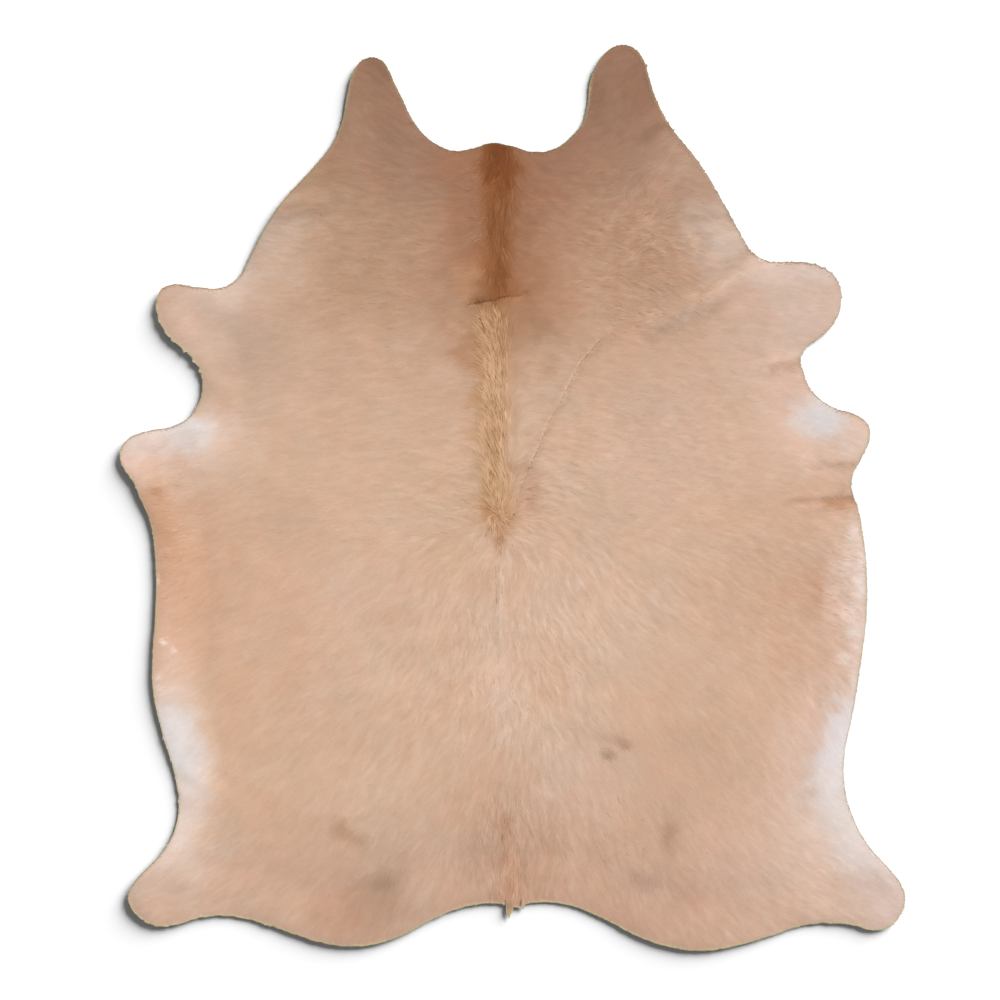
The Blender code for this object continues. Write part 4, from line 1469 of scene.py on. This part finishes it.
class COWHIDE_OT_coat(Operator):
    """Lay the locks of the short coat over the skin, in four lengths of the hide."""

    bl_idname = "cowhide.coat"
    bl_label = "Coat"

    def execute(self, context):
        sizes = context.scene.cowhide_sizes
        shape = hide_shape()
        chance = np.random.default_rng(SEED + 70)
        place = scattered(sizes.lock_pitch, chance)
        count = len(place)
        run = np.exp(1j * (lie_of(place) + chance.normal(0, COAT_STRAY, count)))
        length = sizes.lock_length * chance.uniform(0.75, 1.2, count)
        gap = sample(shape.inside, place)
        tip_gap = sample(shape.inside, place + run * length)
        room = (gap - LOCK_MARGIN) / np.maximum(gap - tip_gap, 0.01 * MM)
        length = length * np.where(tip_gap < LOCK_MARGIN, room.clip(SHORTEST_LOCK, 1), 1)

        tuft = tuft_centres(place, TUFT_PITCH, chance) - place
        reach = run * length + tuft * TUFT_PULL
        loft = TUFT_LOFT * (1 - np.abs(tuft) / TUFT_REACH)
        rise = sizes.lock_rise * (1 + loft + chance.normal(0, 0.1, count))
        rise = rise * (0.55 + 0.45 * smooth_step(gap / (12 * MM)))

        streak = np.clip(sample(shape.streak, place), -2.5, 2.5) * roughness_of_coat(place)
        tone = STREAK_TONE * streak + chance.normal(0, 0.007, count)
        colour = toned(coat_colour(place, chance), tone)
        width = sizes.lock_width * chance.uniform(0.8, 1.2, count)
        locks = new_hairs(place, np.angle(reach), np.abs(reach), width, rise, colour,
                          root=chance.uniform(-0.03, 0.03, count) * MM)

        names = ("coat_rump", "coat_barrel", "coat_shoulders", "coat_neck")
        stretches = np.array_split(np.argsort(place.imag), len(names))
        for name, stretch in zip(names, stretches):
            add_hairs(name, chosen(locks, stretch), ahead=0.36, sink=0.15 * MM, side_rise=0)

        ruffles = joined([ruffled(row, chance) for row in RUFFLED_PLACES])
        kept = sample(shape.inside, ruffles.place) > 22 * MM
        add_hairs("ruffled_coat", chosen(ruffles, kept), shares=(0, 0.3, 0.65),
                  sink=0.15 * MM, side_rise=0, roundness=0.15, side_shade_gain=0.95, root_width=0.3)
        return {"FINISHED"}


def ruffled(row, chance):
    """Wavy tufts that stand up a little where the coat is ruffled."""
    _, count, across, along, reach_x, reach_y, length, width, contrast = row
    aside = reach_x * chance.normal(0, 0.55, count).clip(-1.4, 1.4)
    ahead = reach_y * chance.normal(0, 0.55, count).clip(-1.4, 1.4)
    place = (complex(across, along) + aside + 1j * ahead) * MM
    turn = lie_of(place) + 0.5 * cloud(place, 26 * MM, 73) + chance.normal(0, 0.12, count)
    length = length * MM * chance.uniform(0.5, 1.4, count)
    bend = (0.2 * cloud(place, 15 * MM, 74) + chance.normal(0, 0.06, count)) * length
    tone = contrast * chance.normal(0, 0.6, count).clip(-1.5, 1.5)
    colour = toned(coat_colour(place, chance), tone)
    width = width * MM * chance.uniform(0.6, 1.3, count)
    return new_hairs(place, turn, length, width, chance.uniform(0.3, 0.6, count) * MM, colour,
                     bend=bend)


def along_line(line, shares):
    """Places and direction at the given shares of a line's length."""
    corners = np.array([complex(*corner) for corner in line]) * MM
    walked = lengths_along(corners)
    lengths = shares * walked[-1]
    stretch = np.clip(np.searchsorted(walked, lengths) - 1, 0, len(line) - 2)
    return np.interp(lengths, walked, corners), np.angle(np.diff(corners)[stretch])


def tuft_tone_and_shade(place):
    """Tone from -1 to 1 of the wavy tufts, 5 mm wide and long up and down the back. In the mane
    the lighter tufts also stand higher, so it is partly painted light on them and painted shade
    between them.
    """
    waved = place.real + 4 * MM * cloud(place, 30 * MM, 83)
    fine = cloud(waved + 0.28j * place.imag, 4.2 * MM, 84)
    broad = cloud(waved + 0.3j * place.imag, 9 * MM, 85)
    return np.clip(0.9 * fine + 0.5 * broad, -1, 1)


def mane_row(row, chance):
    """The strands of one row of long hair, which sway together in places."""
    _, count, length, width, rise, wide, narrow, contrast, code, share, line = row
    walked = chance.uniform(0, 1, count)
    place, _ = along_line(line, walked)
    aside = chance.normal(0, 0.55, count).clip(-1.2, 1.2)
    place = place + (wide + (narrow - wide) * walked) * MM * aside
    turn = lie_of(place) + chance.normal(0, COAT_STRAY, count) + 0.22 * cloud(place, 24 * MM, 81)
    length = length * MM * chance.uniform(0.6, 1.3, count)
    place = place - np.exp(1j * turn) * length * 0.5
    turn = (lie_of(place) + turn) * 0.5
    bend = (0.2 * cloud(place, 18 * MM, 82) + chance.normal(0, 0.05, count)) * length
    # Lighter tufts stand higher: partly painted light on them and painted shade between them
    tuft = tuft_tone_and_shade(place)
    tone = contrast * (tuft + chance.normal(0, 0.25, count))
    colour = tinted(coat_colour(place, chance, 2 * MM), code, share, np.abs(aside) + 0.05, 0.12)
    colour = toned(colour, tone)
    rise = rise * MM * chance.uniform(0.8, 1.2, count) * (1 + 0.35 * tuft)
    width = width * MM * chance.uniform(0.6, 1.3, count)
    return new_hairs(place, turn, length, width, rise, colour, colour * 1.02, bend, 0.05 * MM)


def parted_line(row, chance):
    """Short hairs that lie along a line."""
    _, count, length, width, spread, rise, code, line = row
    place, turn = along_line(line, chance.uniform(0, 1, count))
    aside = chance.normal(0, spread * MM, count)
    length = length * MM * chance.uniform(0.6, 1.2, count)
    place = place + np.exp(1j * turn) * (1j * aside - length / 2)
    turn = turn + chance.normal(0, LINE_STRAY, count)
    colour = srgb_shares(code) * (1 + chance.normal(0, 0.05, count))[:, None]
    width = width * MM * chance.uniform(0.7, 1.2, count)
    rise = rise * MM * chance.uniform(0.8, 1.1, count)
    return new_hairs(place, turn, length, width, rise, colour, root=0.3 * MM)


class COWHIDE_OT_mane(Operator):
    """Lay the long hair of the neck's crest, the whorl and the parting in tufts."""

    bl_idname = "cowhide.mane"
    bl_label = "Mane"

    def execute(self, context):
        inside = hide_shape().inside
        chance = np.random.default_rng(SEED + 80)
        hairs = joined([mane_row(row, chance) for row in MANE_ROWS])
        tip = hairs.place + np.exp(1j * hairs.turn) * hairs.length
        kept = (sample(inside, hairs.place) > 4 * MM) & (sample(inside, tip) > 1 * MM)
        add_hairs("mane", chosen(hairs, kept), shares=(0, 0.2, 0.45, 0.75), arch=0.7,
                  side_rise=0.3, sink=0.2 * MM, roundness=0.12, side_shade_gain=0.9, root_width=0.2)
        lines = joined([parted_line(row, chance) for row in PARTED_LINES])
        add_hairs("parted_hair", lines, shares=(0, 0.5), arch=0.9, side_rise=0.4,
                  root_width=0.3)
        return {"FINISHED"}


class COWHIDE_OT_edge_hair(Operator):
    """Lay hair tips over the cut edge, pale where the hair lies outward, and dark as painted shade
    where the edge faces the head.
    """

    bl_idname = "cowhide.edge_hair"
    bl_label = "Edge hair"

    def execute(self, context):
        chance = np.random.default_rng(SEED + 90)
        loop = evenly_spaced(frayed(hide_shape().edge), context.scene.cowhide_sizes.rim_pitch)
        facing = outward(loop)
        facing = (facing + np.roll(facing, 4) + np.roll(facing, -4)) / 3
        count = len(loop)
        depth = chance.uniform(5, 11, count) * MM
        place = loop - facing * depth
        lie = np.exp(1j * lie_of(place))
        agrees = (lie * np.conj(facing)).real.clip(0, 1)
        turn = np.angle(facing + 0.7 * lie * agrees) + chance.normal(0, EDGE_STRAY, count)
        overhang = chance.uniform(-0.2, 0.6, count) * MM
        slant = np.maximum((np.exp(1j * turn) * np.conj(facing)).real, 0.6)
        coat = coat_colour(place, chance)
        tint = rim_tint(facing) * (1 + chance.normal(0, 0.05, count))[:, None]
        width = chance.uniform(1.8, 2.8, count) * MM
        rise = chance.uniform(-0.1, 0.3, count) * MM
        hairs = new_hairs(place, turn, (depth + overhang) / slant, width, rise, coat, tint,
                          root=0.1 * MM)
        add_hairs("edge_hair", hairs, shares=(0, 0.8), arch=0, ridge=0.15 * MM,
                  sink=0.1 * MM, gains=(1, 1), side_shade_gain=1, tint_at=1.4)
        return {"FINISHED"}


class COWHIDE_OT_tail_tuft(Operator):
    """Lay the short tuft of hair at the root of the tail."""

    bl_idname = "cowhide.tail_tuft"
    bl_label = "Tail tuft"

    def execute(self, context):
        chance = np.random.default_rng(SEED + 100)
        count = context.scene.cowhide_sizes.tail_strands
        tuft = (chance.uniform(0, 1, count) < SIDE_WISP_SHARE).astype(int)
        middle, half_width, tip, lean = np.array([row[1:] for row in TAIL_TUFTS])[tuft].T
        spread = chance.normal(0, 0.42, count).clip(-1, 1)
        start = TAIL_START + chance.uniform(-6, 8, count) * MM
        place = (middle + spread * half_width) * MM + 1j * start
        length = start - (tip + np.abs(spread) * 9) * MM
        length = length * chance.uniform(0.75, 1.0, count)
        turn = lean - math.pi / 2 - spread * 0.16
        change = chance.normal(0, 0.07, count)
        coat, tips = (toned(srgb_shares(code), change) for code in (TAIL_COAT, TAIL_TIP))
        width = chance.uniform(1.2, 2.2, count) * MM
        rise = chance.uniform(0.3, 1.6, count) * MM
        hairs = new_hairs(place, turn, length, width, rise, coat, tips, -spread * 2 * MM, 0.8 * MM)
        add_hairs("tail_tuft", hairs, shares=(0, 0.3, 0.6, 0.85), arch=0.8,
                  side_rise=0.4, roundness=0.15, gains=(0.9, 1.05), tint_at=2)
        return {"FINISHED"}


class COWHIDE_OT_studio(Operator):
    """Set up the pale floor, the soft light and the camera over the hide."""

    bl_idname = "cowhide.studio"
    bl_label = "Studio"

    def execute(self, context):
        scene = context.scene
        studio = scene.cowhide_studio
        mesh = bpy.data.meshes.new("studio_floor")
        grid = bmesh.new()
        bmesh.ops.create_grid(grid, x_segments=8, y_segments=8, size=FLOOR_REACH)
        grid.to_mesh(mesh)
        grid.free()
        mesh.materials.append(studio_paper())
        floor = bpy.data.objects.new("studio_floor", mesh)

        scene.world = bpy.data.worlds.new("even_studio_light")
        scene.world.use_nodes = True
        background = scene.world.node_tree.nodes["Background"]
        background.inputs["Color"].default_value = (1, 1, 1, 1)
        background.inputs["Strength"].default_value = studio.fill_power

        sun = bpy.data.lights.new("key_light", "SUN")
        sun.energy = studio.key_power
        sun.angle = studio.key_softness
        sun.color = KEY_COLOUR
        key = bpy.data.objects.new("key_light", sun)
        level = math.cos(studio.key_rise)
        away = Vector((math.cos(studio.key_turn) * level, math.sin(studio.key_turn) * level,
                       math.sin(studio.key_rise)))
        key.location = away * KEY_DISTANCE
        key.rotation_euler = away.to_track_quat("Z", "Y").to_euler()

        lens = bpy.data.cameras.new("camera")
        lens.lens = studio.lens
        lens.sensor_width = SENSOR_WIDTH
        lens.clip_end = CAMERA_SIGHT
        camera = bpy.data.objects.new("camera", lens)
        camera.location = (studio.camera_across, studio.camera_along, studio.camera_height)
        for item in (floor, key, camera):
            scene.collection.objects.link(item)
        scene.camera = camera
        scene.view_settings.view_transform = "Standard"
        return {"FINISHED"}


class COWHIDE_OT_declare(Operator):
    bl_idname = "cowhide.declare"
    bl_label = "Declare"

    def execute(self, context):
        enclosed_area(hide_shape().edge)
        return {"FINISHED"}


STEPS = ("skin", "coat", "mane", "edge_hair", "tail_tuft", "studio", "declare")


class COWHIDE_PT_panel(Panel):
    """Lists the hide's sizes, colours and pieces."""

    bl_idname = "COWHIDE_PT_panel"
    bl_label = "Cowhide"
    bl_space_type = "VIEW_3D"
    bl_region_type = "UI"
    bl_category = "Cowhide"

    def draw(self, context):
        for group in ("cowhide_sizes", "cowhide_colours", "cowhide_studio"):
            settings = getattr(context.scene, group)
            box = self.layout.box()
            for name in settings.__annotations__:
                box.prop(settings, name)
        for step in STEPS:
            self.layout.operator(f"cowhide.{step}")


CLASSES = (CowhideSizes, CowhideColours, CowhideStudio, COWHIDE_OT_skin, COWHIDE_OT_coat,
           COWHIDE_OT_mane, COWHIDE_OT_edge_hair, COWHIDE_OT_tail_tuft, COWHIDE_OT_studio,
           COWHIDE_OT_declare, COWHIDE_PT_panel)


def register():
    """Add the classes and their settings to Blender."""
    for item in CLASSES:
        register_class(item)
    bpy.types.Scene.cowhide_sizes = PointerProperty(type=CowhideSizes)
    bpy.types.Scene.cowhide_colours = PointerProperty(type=CowhideColours)
    bpy.types.Scene.cowhide_studio = PointerProperty(type=CowhideStudio)


def unregister():
    """Take the settings and the classes out of Blender again."""
    del bpy.types.Scene.cowhide_studio
    del bpy.types.Scene.cowhide_colours
    del bpy.types.Scene.cowhide_sizes
    for item in reversed(CLASSES):
        unregister_class(item)


def main():
    """Make every piece in turn."""
    register()
    for step in STEPS:
        getattr(bpy.ops.cowhide, step)()


if __name__ == "__main__":
    main()
